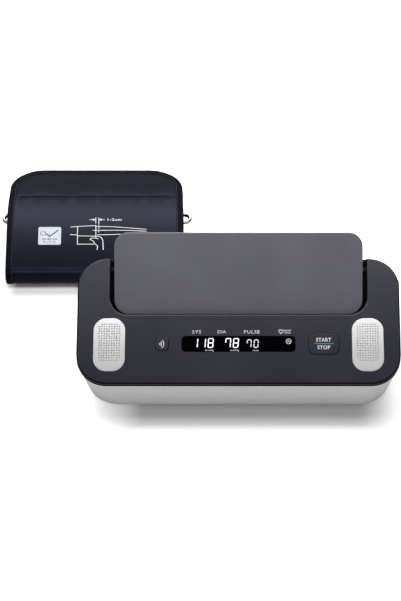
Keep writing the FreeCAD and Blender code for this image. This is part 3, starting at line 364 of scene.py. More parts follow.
def outward(points: Array, faces: list[Array]) -> list[Array]:
    """Turns the faces of a closed solid so that they point out of it.

    The signed volume is a third of the sum of area vectors times places; where it is
    negative every face is reversed.

    Args:
        points: (n, 3) points.
        faces: blocks of faces.
    Returns:
        The blocks, reversed or not.
    """
    volume = 0.0
    middle = points.mean(0)
    for block in faces:
        fan = [points[block[:, [0, i, i + 1]]] - middle for i in range(1, block.shape[1] - 1)]
        volume += sum(np.einsum("ij,ij->", t[:, 0], np.cross(t[:, 1], t[:, 2])) for t in fan)
    return [block[:, ::-1] for block in faces] if volume < 0 else faces


# ---------------------------------------------------------------- finishes
NOISE_LOW, NOISE_HIGH = 0.3, 0.7  # a noise's values lie mostly between these
WAVE_PERIOD = math.pi / 10  # length of a wave of the wave texture at scale 1


def linear(colour: str, alpha: float = 1.0) -> tuple[float, float, float, float]:
    """Turns an sRGB hex value to linear: c / 12.92 for dark values, else ((c + 0.055) / 1.055) ** 2.4.

    Args:
        colour: such as "#3b3b45".
        alpha: fourth number of the result.
    Returns:
        Red, green, blue and alpha.
    """
    parts = np.array([int(colour[i:i + 2], 16) for i in (1, 3, 5)]) / 255
    red, green, blue = np.where(parts <= 0.04045, parts / 12.92, ((parts + 0.055) / 1.055) ** 2.4)
    return float(red), float(green), float(blue), alpha


def add_node(tree: bpy.types.NodeTree, kind: str, inputs: dict[str | int, Any] | None = None,
             **properties: Any) -> bpy.types.Node:
    """Adds a node with its settings and links.

    Args:
        tree: the material's node tree.
        kind: Blender's name for the node, after "ShaderNode".
        inputs: a number, colour or vector to set, or another node's output to link, per input.
        **properties: the node's own settings.
    Returns:
        The new node.
    """
    node = tree.nodes.new("ShaderNode" + kind)
    for key, value in properties.items():
        setattr(node, key, value)
    for key, value in (inputs or {}).items():
        if isinstance(value, bpy.types.NodeSocket):
            tree.links.new(value, node.inputs[key])
        else:
            node.inputs[key].default_value = value
    return node


def per_metre(size_mm: float) -> float:
    """Texture scale whose features are this many millimetres across."""
    return 1000.0 / size_mm


@dataclass(frozen=True)
class Blank:
    """A material in the making: its node tree, its shader and the object coordinates."""

    material: bpy.types.Material
    tree: bpy.types.NodeTree
    shader: bpy.types.Node
    coords: bpy.types.NodeSocket

    def drive(self, socket: str, source: bpy.types.NodeSocket) -> "Blank":
        """Links a source to one of the shader's sockets."""
        self.tree.links.new(source, self.shader.inputs[socket])
        return self


@dataclass(frozen=True)
class Finish(ABC):
    """What every finish has: its name, colour and roughness, and the steps that finishes share."""

    name: str
    colour: str
    roughness: float

    @abstractmethod
    def make(self) -> bpy.types.Material:
        """Builds the material."""

    def begin(self, **sockets: Any) -> Blank:
        """Starts a material with its shader.

        Args:
            **sockets: constants of the shader, named with underscores for spaces.
        Returns:
            The material in the making.
        """
        material = bpy.data.materials.new(self.name)
        material.use_nodes = True
        tree = material.node_tree
        shader = tree.nodes["Principled BSDF"]
        shader.inputs["Base Color"].default_value = linear(self.colour)
        shader.inputs["Roughness"].default_value = self.roughness
        for key, value in sockets.items():
            shader.inputs[key.replace("_", " ")].default_value = value
        return Blank(material, tree, shader, add_node(tree, "TexCoord").outputs["Object"])

    def mottle(self, blank: Blank, size_mm: float, other: str, roughness_swing: float) -> Blank:
        """Lets the colour and roughness drift over the surface.

        Args:
            blank: the material in the making.
            size_mm: size of the drift.
            other: colour at the drift's other end.
            roughness_swing: roughness at that end, above the finish's own.
        Returns:
            The same material.
        """
        noise = add_node(blank.tree, "TexNoise", {"Vector": blank.coords, "Scale": per_metre(size_mm),
                                                  "Detail": 4.0})
        share, rough = (
            add_node(blank.tree, "MapRange", {"Value": noise.outputs["Fac"], "From Min": NOISE_LOW,
                                              "From Max": NOISE_HIGH, "To Min": low, "To Max": high})
            for low, high in ((0.0, 1.0), (self.roughness, self.roughness + roughness_swing)))
        mixed = add_node(blank.tree, "Mix", {0: share.outputs["Result"], 6: linear(self.colour),
                                             7: linear(other)}, data_type="RGBA")
        return blank.drive("Base Color", mixed.outputs[2]).drive("Roughness", rough.outputs["Result"])

    def grain(self, blank: Blank, size_mm: float, depth_mm: float, strength: float,
              detail: float = 2.0, roughness: float = 0.5) -> Blank:
        """Roughens the surface with noise.

        Args:
            blank: the material in the making.
            size_mm: size of the grain.
            depth_mm: its depth.
            strength: share of that depth which shows.
            detail: octaves of the noise.
            roughness: share of each octave in the one before.
        Returns:
            The same material.
        """
        noise = add_node(blank.tree, "TexNoise", {"Vector": blank.coords, "Scale": per_metre(size_mm),
                                                  "Detail": detail, "Roughness": roughness})
        bump = add_node(blank.tree, "Bump", {"Height": noise.outputs["Fac"], "Strength": strength,
                                             "Distance": depth_mm * MM})
        return blank.drive("Normal", bump.outputs["Normal"])


@dataclass(frozen=True)
class MouldedPlastic(Finish):
    """Injection-moulded ABS or similar: even colour, fine spark-eroded grain, soft sheen, and where given a
    painted shade on the rim below the face.
    """

    drift: str = "#000000"
    drift_mm: float = 45.0
    grain_mm: float = 0.55
    grain_depth_mm: float = 0.012
    specular: float = 0.5
    # dark colour painted on the rim below the face as its shade
    rim: str = ""
    rim_shade_fade_mm: Pair = (0.04, 0.12)  # how far below the face the rim's colour begins and is full

    def paint_rim_shade(self, blank: Blank) -> None:
        """Paints shade on the rim below the sloped face: a dark colour of its own.

        The height of the face's plane over a point, front edge + way to the rear times
        tan a - z, is nothing on the face and grows round its edge and down the rim.

        Args:
            blank: the material in the making, with the face's colour linked.
        """
        tree = blank.tree
        place = add_node(tree, "SeparateXYZ", {0: blank.coords})
        rise = math.tan(SLOPE)
        plane = add_node(tree, "Math", {0: place.outputs["Y"], 1: rise,
                                        2: FRONT_EDGE_Z * MM - ORIGIN_SHIFT[1] * MM * rise},
                         operation="MULTIPLY_ADD")
        under = add_node(tree, "Math", {0: plane.outputs[0], 1: place.outputs["Z"]}, operation="SUBTRACT")
        begin, full = self.rim_shade_fade_mm
        share = add_node(tree, "MapRange", {"Value": under.outputs[0], "From Min": begin * MM,
                                            "From Max": full * MM})
        face = blank.shader.inputs["Base Color"].links[0].from_socket
        mixed = add_node(tree, "Mix", {0: share.outputs["Result"], 6: face, 7: linear(self.rim)},
                         data_type="RGBA")
        blank.drive("Base Color", mixed.outputs[2])

    def make(self) -> bpy.types.Material:
        """Builds the material.

        Returns:
            The material: a slow colour drift under a fine erosion grain.
        """
        blank = self.begin(IOR=1.53, Specular_IOR_Level=self.specular)
        self.mottle(blank, self.drift_mm, self.drift, 0.06)
        # the rim's shade is painted below the face
        if self.rim:
            self.paint_rim_shade(blank)
        return self.grain(blank, self.grain_mm, self.grain_depth_mm, 0.6, 3.0, 0.6).material


@dataclass(frozen=True)
class SmokedAcrylic(Finish):
    """Cast acrylic sheet, tinted nearly black and hard coated: deep, glossy, faint wipe marks."""

    wiped: str = "#050508"
    wipe_mm: float = 30.0

    def make(self) -> bpy.types.Material:
        """Builds the material: near black, glossy, with soft patches in colour and gloss."""
        blank = self.begin(IOR=1.49, Specular_IOR_Level=0.02)
        return self.mottle(blank, self.wipe_mm, self.wiped, 0.05).material


@dataclass(frozen=True)
class PlatedPad(Finish):
    """Satin nickel plating on a moulded pad: pale, soft highlight, with shade painted dark in its pits."""

    cloud: str = "#d6d6d7"
    cloud_mm: float = 18.0
    # colour painted in the pits as their shade
    pit_shade: str = "#121216"

    def make(self) -> bpy.types.Material:
        """Builds the material.

        Returns:
            The material: satin metal whose colour is painted darker in the pits as their shade, by how deep
                each point lies.
        """
        blank = self.begin(Metallic=0.3)
        pit_shade = add_node(blank.tree, "Attribute", attribute_name="pit_shade")
        drift = add_node(blank.tree, "TexNoise", {"Vector": blank.coords, "Scale": per_metre(self.cloud_mm),
                                                  "Detail": 5.0})
        colour = linear(self.colour)
        for share, other in ((drift, self.cloud), (pit_shade, self.pit_shade)):
            colour = add_node(blank.tree, "Mix", {0: share.outputs["Fac"], 6: colour, 7: linear(other)},
                              data_type="RGBA").outputs[2]
        return self.grain(blank.drive("Base Color", colour), 0.4, 0.004, 0.3).material


@dataclass(frozen=True)
class PrintInk(Finish):
    """Pad-printed ink: matt, opaque, a little uneven in gloss where it lies on the grain."""

    glow: float = 0.0  # light it gives off, where it is a lit segment
    grain_mm: float = 0.8

    def make(self) -> bpy.types.Material:
        """Builds the material: flat colour, with small changes of gloss."""
        blank = self.begin(Emission_Color=linear(self.colour), Emission_Strength=self.glow)
        return self.mottle(blank, self.grain_mm, self.colour, 0.1).material


@dataclass(frozen=True)
class WovenNylon(Finish):
    """Plain-woven nylon, calendered: close threads both ways, dark with a soft sheen."""

    thread_mm: float = 0.9  # the real cloth has about 0.25 mm, too fine to show
    other: str = "#0f111b"
    other_mm: float = 35.0
    slub_mm: float = 1.6
    slub_stretch: float = 0.05  # width of a slub as a share of its length
    sheen: str = "#b8c4ff"
    depth_mm: float = 0.05
    specular: float = 0.115

    def make(self) -> bpy.types.Material:
        """Builds the material.

        Returns:
            The material: two crossed sine ribs on the cloth's own map, with long slubs across.
        """
        blank = self.begin(Specular_IOR_Level=self.specular, Specular_Tint=linear(self.sheen))
        tree = blank.tree
        cloth = add_node(tree, "UVMap", uv_map="cloth").outputs["UV"]
        ribs = per_metre(self.thread_mm) * WAVE_PERIOD / 2  # a wave spans two threads, over and under
        across, along = (add_node(tree, "TexWave", {"Vector": cloth, "Scale": ribs}, bands_direction=axis)
                         for axis in "XY")
        weave = add_node(tree, "Math", {0: across.outputs["Fac"], 1: along.outputs["Fac"]},
                         operation="MULTIPLY")
        drift = add_node(tree, "TexNoise", {"Vector": blank.coords, "Scale": per_metre(self.other_mm),
                                            "Detail": 6.0})
        tone = add_node(tree, "MapRange", {"Value": drift.outputs["Fac"], "From Min": NOISE_LOW,
                                           "From Max": NOISE_HIGH})
        base = add_node(tree, "Mix", {0: tone.outputs["Result"], 6: linear(self.colour),
                                      7: linear(self.other)}, data_type="RGBA")
        drawn = add_node(tree, "VectorMath", {0: cloth, 1: (self.slub_stretch, 1.0, 1.0)},
                         operation="MULTIPLY")
        slubs = add_node(tree, "TexNoise", {"Vector": drawn.outputs[0], "Scale": per_metre(self.slub_mm),
                                            "Detail": 2.0})
        both = add_node(tree, "Math", {0: weave.outputs["Value"], 1: slubs.outputs["Fac"]})
        lifted = add_node(tree, "MapRange", {"Value": both.outputs["Value"], "From Min": 0.3,
                                             "From Max": 1.6, "To Min": 0.6, "To Max": 1.3})
        shade = add_node(tree, "VectorMath", {0: base.outputs[2], "Scale": lifted.outputs["Result"]},
                         operation="SCALE")
        bump = add_node(tree, "Bump", {"Height": both.outputs["Value"], "Strength": 0.5,
                                       "Distance": self.depth_mm * MM})
        blank.drive("Base Color", shade.outputs["Vector"]).drive("Normal", bump.outputs["Normal"])
        return blank.material


@dataclass(frozen=True)
class BareMetal(Finish):
    """Plain or plated metal: full reflection, slight change in its polish."""

    patch_mm: float = 12.0
    swing: float = 0.08

    def make(self) -> bpy.types.Material:
        """Builds the material: metallic, with roughness drifting over patches."""
        return self.mottle(self.begin(Metallic=1.0), self.patch_mm, self.colour, self.swing).material


@dataclass(frozen=True)
class MouldedRubber(Finish):
    """Moulded rubber or silicone: matt, slightly cloudy, fine skin."""

    cloud: str = "#101012"
    cloud_mm: float = 8.0
    clear: float = 0.0

    def make(self) -> bpy.types.Material:
        """Builds the material: matt and cloudy, with an orange-peel skin of 0.8 mm."""
        blank = self.begin(IOR=1.45, Subsurface_Weight=self.clear)
        return self.grain(self.mottle(blank, self.cloud_mm, self.cloud, 0.08), 0.8, 0.02, 0.4).material


@dataclass(frozen=True)
class CircuitBoard(Finish):
    """Glass-epoxy board under green solder mask: satin, with copper tracks showing through."""

    track: str = "#3f8f5c"
    field_mm: float = 4.0

    def make(self) -> bpy.types.Material:
        """Builds the material.

        Returns:
            The material: fields of mask green with a paler track along their edges.
        """
        blank = self.begin(IOR=1.5)
        cells = add_node(blank.tree, "TexVoronoi",
                         {"Vector": blank.coords, "Scale": per_metre(self.field_mm), "Randomness": 0.7},
                         feature="DISTANCE_TO_EDGE", distance="EUCLIDEAN")
        inside = add_node(blank.tree, "MapRange", {"Value": cells.outputs["Distance"], "From Min": 0.02,
                                                   "From Max": 0.06})
        colour = add_node(blank.tree, "Mix", {0: inside.outputs["Result"], 6: linear(self.track),
                                              7: linear(self.colour)}, data_type="RGBA")
        return blank.drive("Base Color", colour.outputs[2]).material


FINISHES: dict[str, Finish] = {
    # injection-moulded ABS, spark-eroded: soft charcoal with a blue cast and a broad sheen; its rim below
    # the face is painted near black as shade
    "cover_plastic": MouldedPlastic("moulded_abs_charcoal", "#1a1a2a", 0.36, drift="#1d1d2d", specular=0.42,
                                    rim="#030305"),
    # polished white ABS: clean, a little glossy, faint warm and cool drift
    "casing_plastic": MouldedPlastic("moulded_abs_white", "#e1e1df", 0.34, drift="#dcdddd",
                                     grain_depth_mm=0.004),
    # injection-moulded ABS, mid grey: same grain as the cover, paler
    "stand_plastic": MouldedPlastic("moulded_abs_grey", "#5b5b65", 0.36, drift="#61616b", specular=0.7),
    # black ABS inside the phone well: dull; the same black is used for the bands painted as shade on the
    # cover's rim
    "well_plastic": MouldedPlastic("moulded_abs_black", "#070709", 0.55, drift="#0a0a0d", specular=0.08),
    # cast acrylic: nearly black and glossy
    "display_acrylic": SmokedAcrylic("cast_acrylic_smoked", "#030305", 0.09),
    # satin nickel plate: pale and soft, with shade painted dark in its pits
    "electrode_steel": PlatedPad("nickel_plate_satin", "#e2e2e2", 0.42),
    # moulded rubber: matt black, slightly grey where it is handled
    "black_rubber": MouldedRubber("moulded_rubber_black", "#17171a", 0.75, cloud="#202024"),
    # natural acetal: off-white, waxy
    "inner_plastic": MouldedPlastic("moulded_acetal_natural", "#c9c6bd", 0.45, drift="#bfbcb2"),
    # glass-epoxy board with solder mask: deep green
    "circuit_board": CircuitBoard("solder_masked_board", "#14532f", 0.4),
    # moulded epoxy packages: matt black, fine glass filler
    "chip_resin": MouldedPlastic("moulded_epoxy_black", "#1b1b1d", 0.6, drift="#232325", grain_mm=0.3),
    # zinc-plated steel: cool, slightly patchy
    "steel": BareMetal("zinc_plated_steel", "#b9bcc0", 0.32),
    # drawn steel can: smooth, in small patches of polish
    "motor_can": BareMetal("drawn_steel_can", "#a9abae", 0.26, patch_mm=5.0),
    # silicone tube: milky and soft
    "silicone": MouldedRubber("extruded_silicone_milky", "#c9cdcf", 0.5, cloud="#b8bdc0", clear=0.2),
    # nickel-plated spring steel: bright
    "spring_nickel": BareMetal("nickel_plated_spring", "#c6c2b8", 0.22),
    # shrink film round the cells: glossy grey
    "cell_jacket": MouldedPlastic("shrink_film_grey", "#5d6570", 0.25, drift="#55606c"),
    # woven nylon, calendered: nearly black with a blue cast
    "cuff_nylon": WovenNylon("woven_nylon_navy", "#090b14", 0.34),
    # folded nylon tape: the same colour, coarser and duller
    "cuff_tape": WovenNylon("nylon_binding_tape", "#090b12", 0.5, thread_mm=1.1, other="#0c0e15",
                            depth_mm=0.08, specular=0.045),
    # brushed nylon loop: softer and greyer, no shine
    "cuff_lining": WovenNylon("brushed_nylon_loop", "#2c303b", 0.85, thread_mm=1.6, other="#343844",
                              depth_mm=0.25),
    # welded polyurethane film: clear grey, slippery
    "bladder_film": MouldedRubber("welded_urethane_film", "#8e9499", 0.3, cloud="#7d848a", clear=0.1),
    # chromium plate on steel wire: mirror-like
    "ring_chrome": BareMetal("chromium_plate", "#a4a6ab", 0.14, swing=0.05),
    # satin vinyl label: cool white, slightly uneven
    "label_vinyl": MouldedPlastic("satin_vinyl_white", "#ccd0da", 0.5, drift="#c6cad5"),
}
# the casing's white ABS, painted brighter along its edge as a highlight
PAINTED_HIGHLIGHT_EDGE = MouldedPlastic("moulded_abs_painted_highlight", "#f4f4f2", 0.3, drift="#efefee", grain_depth_mm=0.002)
# pad-printed white ink: matt and slightly grey against the charcoal
WHITE_INK = PrintInk("printed_ink_white", "#e4e4e6", 0.6)
# teal ink of the dividing line: muted, against the white words
TEAL_INK = PrintInk("printed_ink_teal", "#3f7d92", 0.6)
# light diffuser over light-emitting diodes: even cool white
LIT_SEGMENT = PrintInk("lit_diffuser_white", "#f2f4f6", 0.5, glow=0.5)
# the same behind a denser tint: dimmer
DIM_SEGMENT = PrintInk("lit_diffuser_dim", "#cfd3d8", 0.5, glow=0.25)
# dark print on the label: slate, not quite black
LABEL_INK = PrintInk("printed_ink_slate", "#1c212d", 0.6)
# polyester sewing thread: dark, slightly shiny
THREAD = PrintInk("polyester_thread_navy", "#2d323f", 0.45)


@cache
def material_of(finish: Finish) -> bpy.types.Material:
    """The material of a finish, made once."""
    return finish.make()


# ---------------------------------------------------------------- pieces
def make_piece(name: str, shape: Shape, place: Placing, body: str, slot: str,
               finish: Finish | None = None, smooth: bool = True,
               attributes: dict[str, Array] | None = None) -> bpy.types.Object:
    """Makes one finished piece: mesh, material, body and material slot.

    Args:
        name: name of the piece.
        shape: its points and faces, in its own coordinates.
        place: puts those coordinates into the frame.
        body: the body it moves with.
        slot: the record's material slot it belongs to.
        finish: its finish, where it isn't the slot's own.
        smooth: shade it smooth.
        attributes: numbers per point that its material reads.
    Returns:
        The object, at the origin.
    """
    points = place(shape.points)
    mesh = bpy.data.meshes.new(name)
    faces = [face for block in outward(points, shape.faces) for face in block.tolist()]
    mesh.from_pydata(points.tolist(), [], faces)
    if shape.uv is not None:
        corner_points = np.zeros(len(mesh.loops), int)
        mesh.loops.foreach_get("vertex_index", corner_points)
        layer = mesh.uv_layers.new(name="cloth")
        layer.data.foreach_set("uv", (shape.uv[corner_points] * MM).astype(np.float32).ravel())
    for key, values in (attributes or {}).items():
        mesh.attributes.new(key, "FLOAT", "POINT").data.foreach_set("value", values.astype(np.float32))
    mesh.materials.append(material_of(finish or FINISHES[slot]))
    mesh.polygons.foreach_set("use_smooth", np.full(len(mesh.polygons), smooth))
    mesh.update()
    piece = bpy.data.objects.new(name, mesh)
    bpy.context.scene.collection.objects.link(piece)
    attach(piece, body)
    log.info("%s: %d points, %d faces, on %s", name, len(points), len(faces), body)
    return piece


@dataclass
class CarriedNodes:
    """CAD nodes that keep their own mesh and get a better material."""

    nodes: dict[str, bpy.types.Object]

    def dress(self) -> None:
        """Gives every CAD node the finish of its material slot."""
        for name, node in self.nodes.items():
            for socket in node.material_slots:
                slot = socket.material.name.split(".")[0]
                socket.material = material_of(FINISHES[slot])
                log.info("%s: CAD node in %s", name, slot)


# ---------------------------------------------------------------- monitor
class Side(Enum):
    """The two sides of the monitor, as the sign of x."""

    LEFT = -1
    RIGHT = 1


@dataclass
class ThumbElectrode:
    """One pad that a thumb rests on, with its field of small round pits."""

    side: Side
    x: float = 95.3
    s: float = 29.0
    width: float = 23.4
    length: float = 40.3
    corner: float = 9.5
    proud: float = 0.6
    recess: float = 1.0
    base_gap: float = 0.02  # clearance above the recess's floor
    edge_round: float = 0.5
    columns: int = 9
    rows: int = 16
    pitch_x: float = 1.87
    pitch_s: float = 1.82
    field_lift: float = 1.6  # the field's middle above the pad's
    pit_radius: float = 0.39
    pit_depth: float = 0.5
    crown: float = 0.5
    cells: int = 12  # grid spans across one pitch
    within: float = 0.99999  # keeps the field's border inside its outermost pitches

    def pits(self, x: Array, y: Array) -> Array:
        """How deep the pits are at points about the field's middle, from 0 to 1.

        The distance r to the nearest pit's middle gives 1 - (r / radius) squared, raised to
        a fifth: a steep, flat-bottomed hole. The four corner pits are left out.

        Args:
            x: across the field.
            y: up the field.
        Returns:
            Depth at each point, as a share of the full depth.
        """
        column = np.floor(x / self.pitch_x + self.columns / 2)
        row = np.floor(y / self.pitch_s + self.rows / 2)
        dx = x - (column + 0.5 - self.columns / 2) * self.pitch_x
        dy = y - (row + 0.5 - self.rows / 2) * self.pitch_s
        share = np.clip(1 - (dx ** 2 + dy ** 2) / self.pit_radius ** 2, 0, 1) ** 0.2
        corner = np.isin(column, (0, self.columns - 1)) & np.isin(row, (0, self.rows - 1))
        return np.where(corner, 0.0, share)

    def edge_profile(self) -> list[Triple]:
        """The way from the field's border to the pad's base.

        Flat to the outline, then a quarter circle of the edge's radius, then straight down.

        Returns:
            Share of the way to the outline, inset from it and drop, for each ring.
        """
        flat = [(0.35, 0.0, 0.0), (0.75, 0.0, 0.0), (1.0, self.edge_round, 0.0)]
        bend = [(1.0, self.edge_round * (1 - math.sin(a)), self.edge_round * (1 - math.cos(a)))
                for a in np.radians(np.linspace(15, 90, 6))]
        return flat + bend + [(1.0, 0.0, self.proud + self.recess - self.base_gap)]

    def build(self) -> tuple[Shape, Array]:
        """Works out the pad's surface.

        A fine grid covers the field of pits. Rings lead from its border to the pad's
        outline along rays from the field's middle, then round the edge and down the side.
        The top is crowned: its height gains crown (1 - 2 (y / half length) squared).

        Returns:
            The closed solid and the pit depth at each point.
        """
        half_x, half_y = self.columns * self.pitch_x / 2, self.rows * self.pitch_s / 2
        nx, ny = self.columns * self.cells, self.rows * self.cells
        x, y = np.meshgrid(np.linspace(-half_x, half_x, nx + 1), np.linspace(-half_y, half_y, ny + 1))
        depth = self.pits(x * self.within, y * self.within)
        pitted = np.stack([x, y + self.field_lift, self.proud - depth * self.pit_depth], -1).reshape(-1, 3)
        number = np.arange(depth.size).reshape(depth.shape)
        border = np.concatenate([number[0, :-1], number[:-1, -1], number[-1, :0:-1], number[:0:-1, 0]])
        start = pitted[border, :2]
        outline = self.rays_to_outline(start)
        inwards = unit(-outline)
        rings = [at_height(start + (outline + inwards * inset - start) * share, self.proud - drop)
                 for share, inset, drop in self.edge_profile()]
        points = np.concatenate([pitted, *rings])
        outside = np.arange(depth.size, len(points)).reshape(len(rings), -1)
        chain = np.concatenate([border[None], outside])
        beside = np.roll(chain, -1, 1)
        skirt = np.stack([chain[:-1], chain[1:], beside[1:], beside[:-1]], -1).reshape(-1, 4)
        raised = points[:, 2] > 0
        points[raised, 2] += self.crown * (1 - 2 * (2 * points[raised, 1] / self.length) ** 2)
        # pit depth per point, which the pad's finish uses to paint shade in the pits
        pit_shade = np.append(depth, np.zeros(outside.size))
        return Shape(points, [grid_quads(ny + 1, nx + 1), skirt, chain[-1][::-1][None]]), pit_shade

    def rays_to_outline(self, start: Array) -> Array:
        """Where rays from the pad's middle through the given points meet its outline.

        The ray's length is found by halving: a point is inside the rounded rectangle when
        its distance past the corner centres is under the corner radius.

        Args:
            start: (n, 2) points inside the outline.
        Returns:
            (n, 2) points on the outline.
        """
        core = np.array([self.width, self.length]) / 2 - self.corner
        low, high = np.ones(len(start)), np.full(len(start), 8.0)
        for _ in range(40):
            middle = (low + high) / 2
            past = np.maximum(np.abs(start * middle[:, None]) - core, 0)
            inside = np.linalg.norm(past, axis=1) < self.corner
            low, high = np.where(inside, middle, low), np.where(inside, high, middle)
        return start * low[:, None]

    def dress(self) -> None:
        """Makes the pad and hides its plain solid."""
        name = self.side.name.lower()
        shape, pit_shade = self.build()
        piece = make_piece("electrode_pad_" + name, shape.moved(self.side.value * self.x, self.s), on_slope,
                           "monitor", "electrode_steel", attributes={"pit_shade": pit_shade})
        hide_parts("thumb_electrode_" + name)


class Segment(Enum):
    """The seven bars of a digit: ends on a 1 by 2 ladder, x then y."""

    TOP = ((0, 2), (1, 2))
    UPPER_RIGHT = ((1, 2), (1, 1))
    LOWER_RIGHT = ((1, 1), (1, 0))
    BOTTOM = ((1, 0), (0, 0))
    LOWER_LEFT = ((0, 0), (0, 1))
    UPPER_LEFT = ((0, 1), (0, 2))
    MIDDLE = ((0, 1), (1, 1))


DIGITS: dict[str, str] = {
    "0": "TOP UPPER_RIGHT LOWER_RIGHT BOTTOM LOWER_LEFT UPPER_LEFT",
    "1": "UPPER_RIGHT LOWER_RIGHT",
    "7": "TOP UPPER_RIGHT LOWER_RIGHT UPPER_LEFT",
    "8": "TOP UPPER_RIGHT LOWER_RIGHT BOTTOM LOWER_LEFT UPPER_LEFT MIDDLE",
}


@dataclass
class Display:
    """Lit figures, units and a pulse mark behind the smoked window."""

    low: float = -0.149
    high: float = -0.12
    bottom: float = 26.5
    large: Pair = (4.3, 7.5)  # width and height of the two pressures' figures
    small: Pair = (3.75, 6.5)  # and of the pulse's
    pitch: float = 5.72
    small_pitch: float = 5.16
    stroke: float = 0.8
    gap: float = 0.08  # between a bar's end and its corner of the ladder
    slant: float = 0.08
    pressures: tuple[tuple[str, float], ...] = (("118", -18.05), ("78", 0.5))  # figures, end
    pulse: tuple[str, float] = ("70", 15.1)
    units: tuple[tuple[str, float, float], ...] = (
        ("mmHg", -21.45, 6.4), ("mmHg", -2.83, 6.4), ("/min", 12.59, 4.6))  # words, middle, width
    unit_s: float = 24.6
    unit_capital: float = 1.35
    mark: Pair = (37.0, 31.5)
    mark_radius: float = 1.85
    mark_strokes: Pair = (0.38, 0.36)  # of the ring and the beat in it
    beat: tuple[Pair, ...] = ((-1.5, 0.0), (-0.6, 0.0), (-0.2, 0.9), (0.3, -0.9), (0.7, 0.0), (1.5, 0.0))

    def digit(self, figure: str, size: Pair) -> Shape:
        """One figure made of bars with pointed ends.

        Each bar is a hexagon between two points of the ladder; the whole leans by x + slant y.

        Args:
            figure: one of the known figures.
            size: its width and height.
        Returns:
            The bars, with the figure's lower left corner at the origin.
        """
        inner = np.array([size[0] - self.stroke, (size[1] - self.stroke) / 2])
        bars = []
        for name in DIGITS[figure].split():
            a, b = (np.array(end) * inner + self.stroke / 2 for end in Segment[name].value)
            along = unit(b - a)
            side = np.array([-along[1], along[0]]) * self.stroke / 2
            gap = along * self.gap
            shoulder = along * self.stroke / 2
            outline = np.array([a + gap, a + gap + shoulder - side, b - gap - shoulder - side, b - gap,
                                b - gap - shoulder + side, a + gap + shoulder + side])
            outline[:, 0] += self.slant * outline[:, 1]
            bars.append(prism(outline, self.low, self.high))
        return joined(bars)

    def number(self, figures: str, end: float, size: Pair, pitch: float) -> Shape:
        """A number whose last figure ends at the given place.

        Args:
            figures: its figures.
            end: where it ends.
            size: width and height of a figure.
            pitch: way from one figure to the next.
        Returns:
            All its bars, on the slope.
        """
        start = end - size[0] - self.slant * size[1]
        return joined(self.digit(figure, size).moved(start - place * pitch, self.bottom)
                      for place, figure in enumerate(reversed(figures)))

    def build(self) -> dict[str, tuple[Shape, PrintInk]]:
        """Works out the lit pieces.

        Returns:
            Shape on the slope and ink by piece name.
        """
        digits = [self.number(figures, end, self.large, self.pitch) for figures, end in self.pressures]
        pulse = self.number(*self.pulse, self.small, self.small_pitch)
        units = [lettering(words, self.unit_capital, self.low, self.high, width=width).moved(x, self.unit_s)
                 for words, x, width in self.units]
        ring, beat = self.mark_strokes
        mark = [ribbon(arc(self.mark_radius, 0, 345, 40)[:-1], ring, self.low, self.high, closed=True),
                ribbon(np.array(self.beat), beat, self.low, self.high)]
        return {"display_digits": (joined(digits), LIT_SEGMENT),
                "display_pulse_digits": (pulse, DIM_SEGMENT),
                "display_units": (joined(units), DIM_SEGMENT),
                "display_pulse_mark": (joined(mark).moved(*self.mark), DIM_SEGMENT)}

    def dress(self) -> None:
        """Makes the lit pieces on the lens."""
        for name, (shape, ink) in self.build().items():
            make_piece(name, shape, on_slope, "monitor", "display_acrylic", ink, smooth=False)


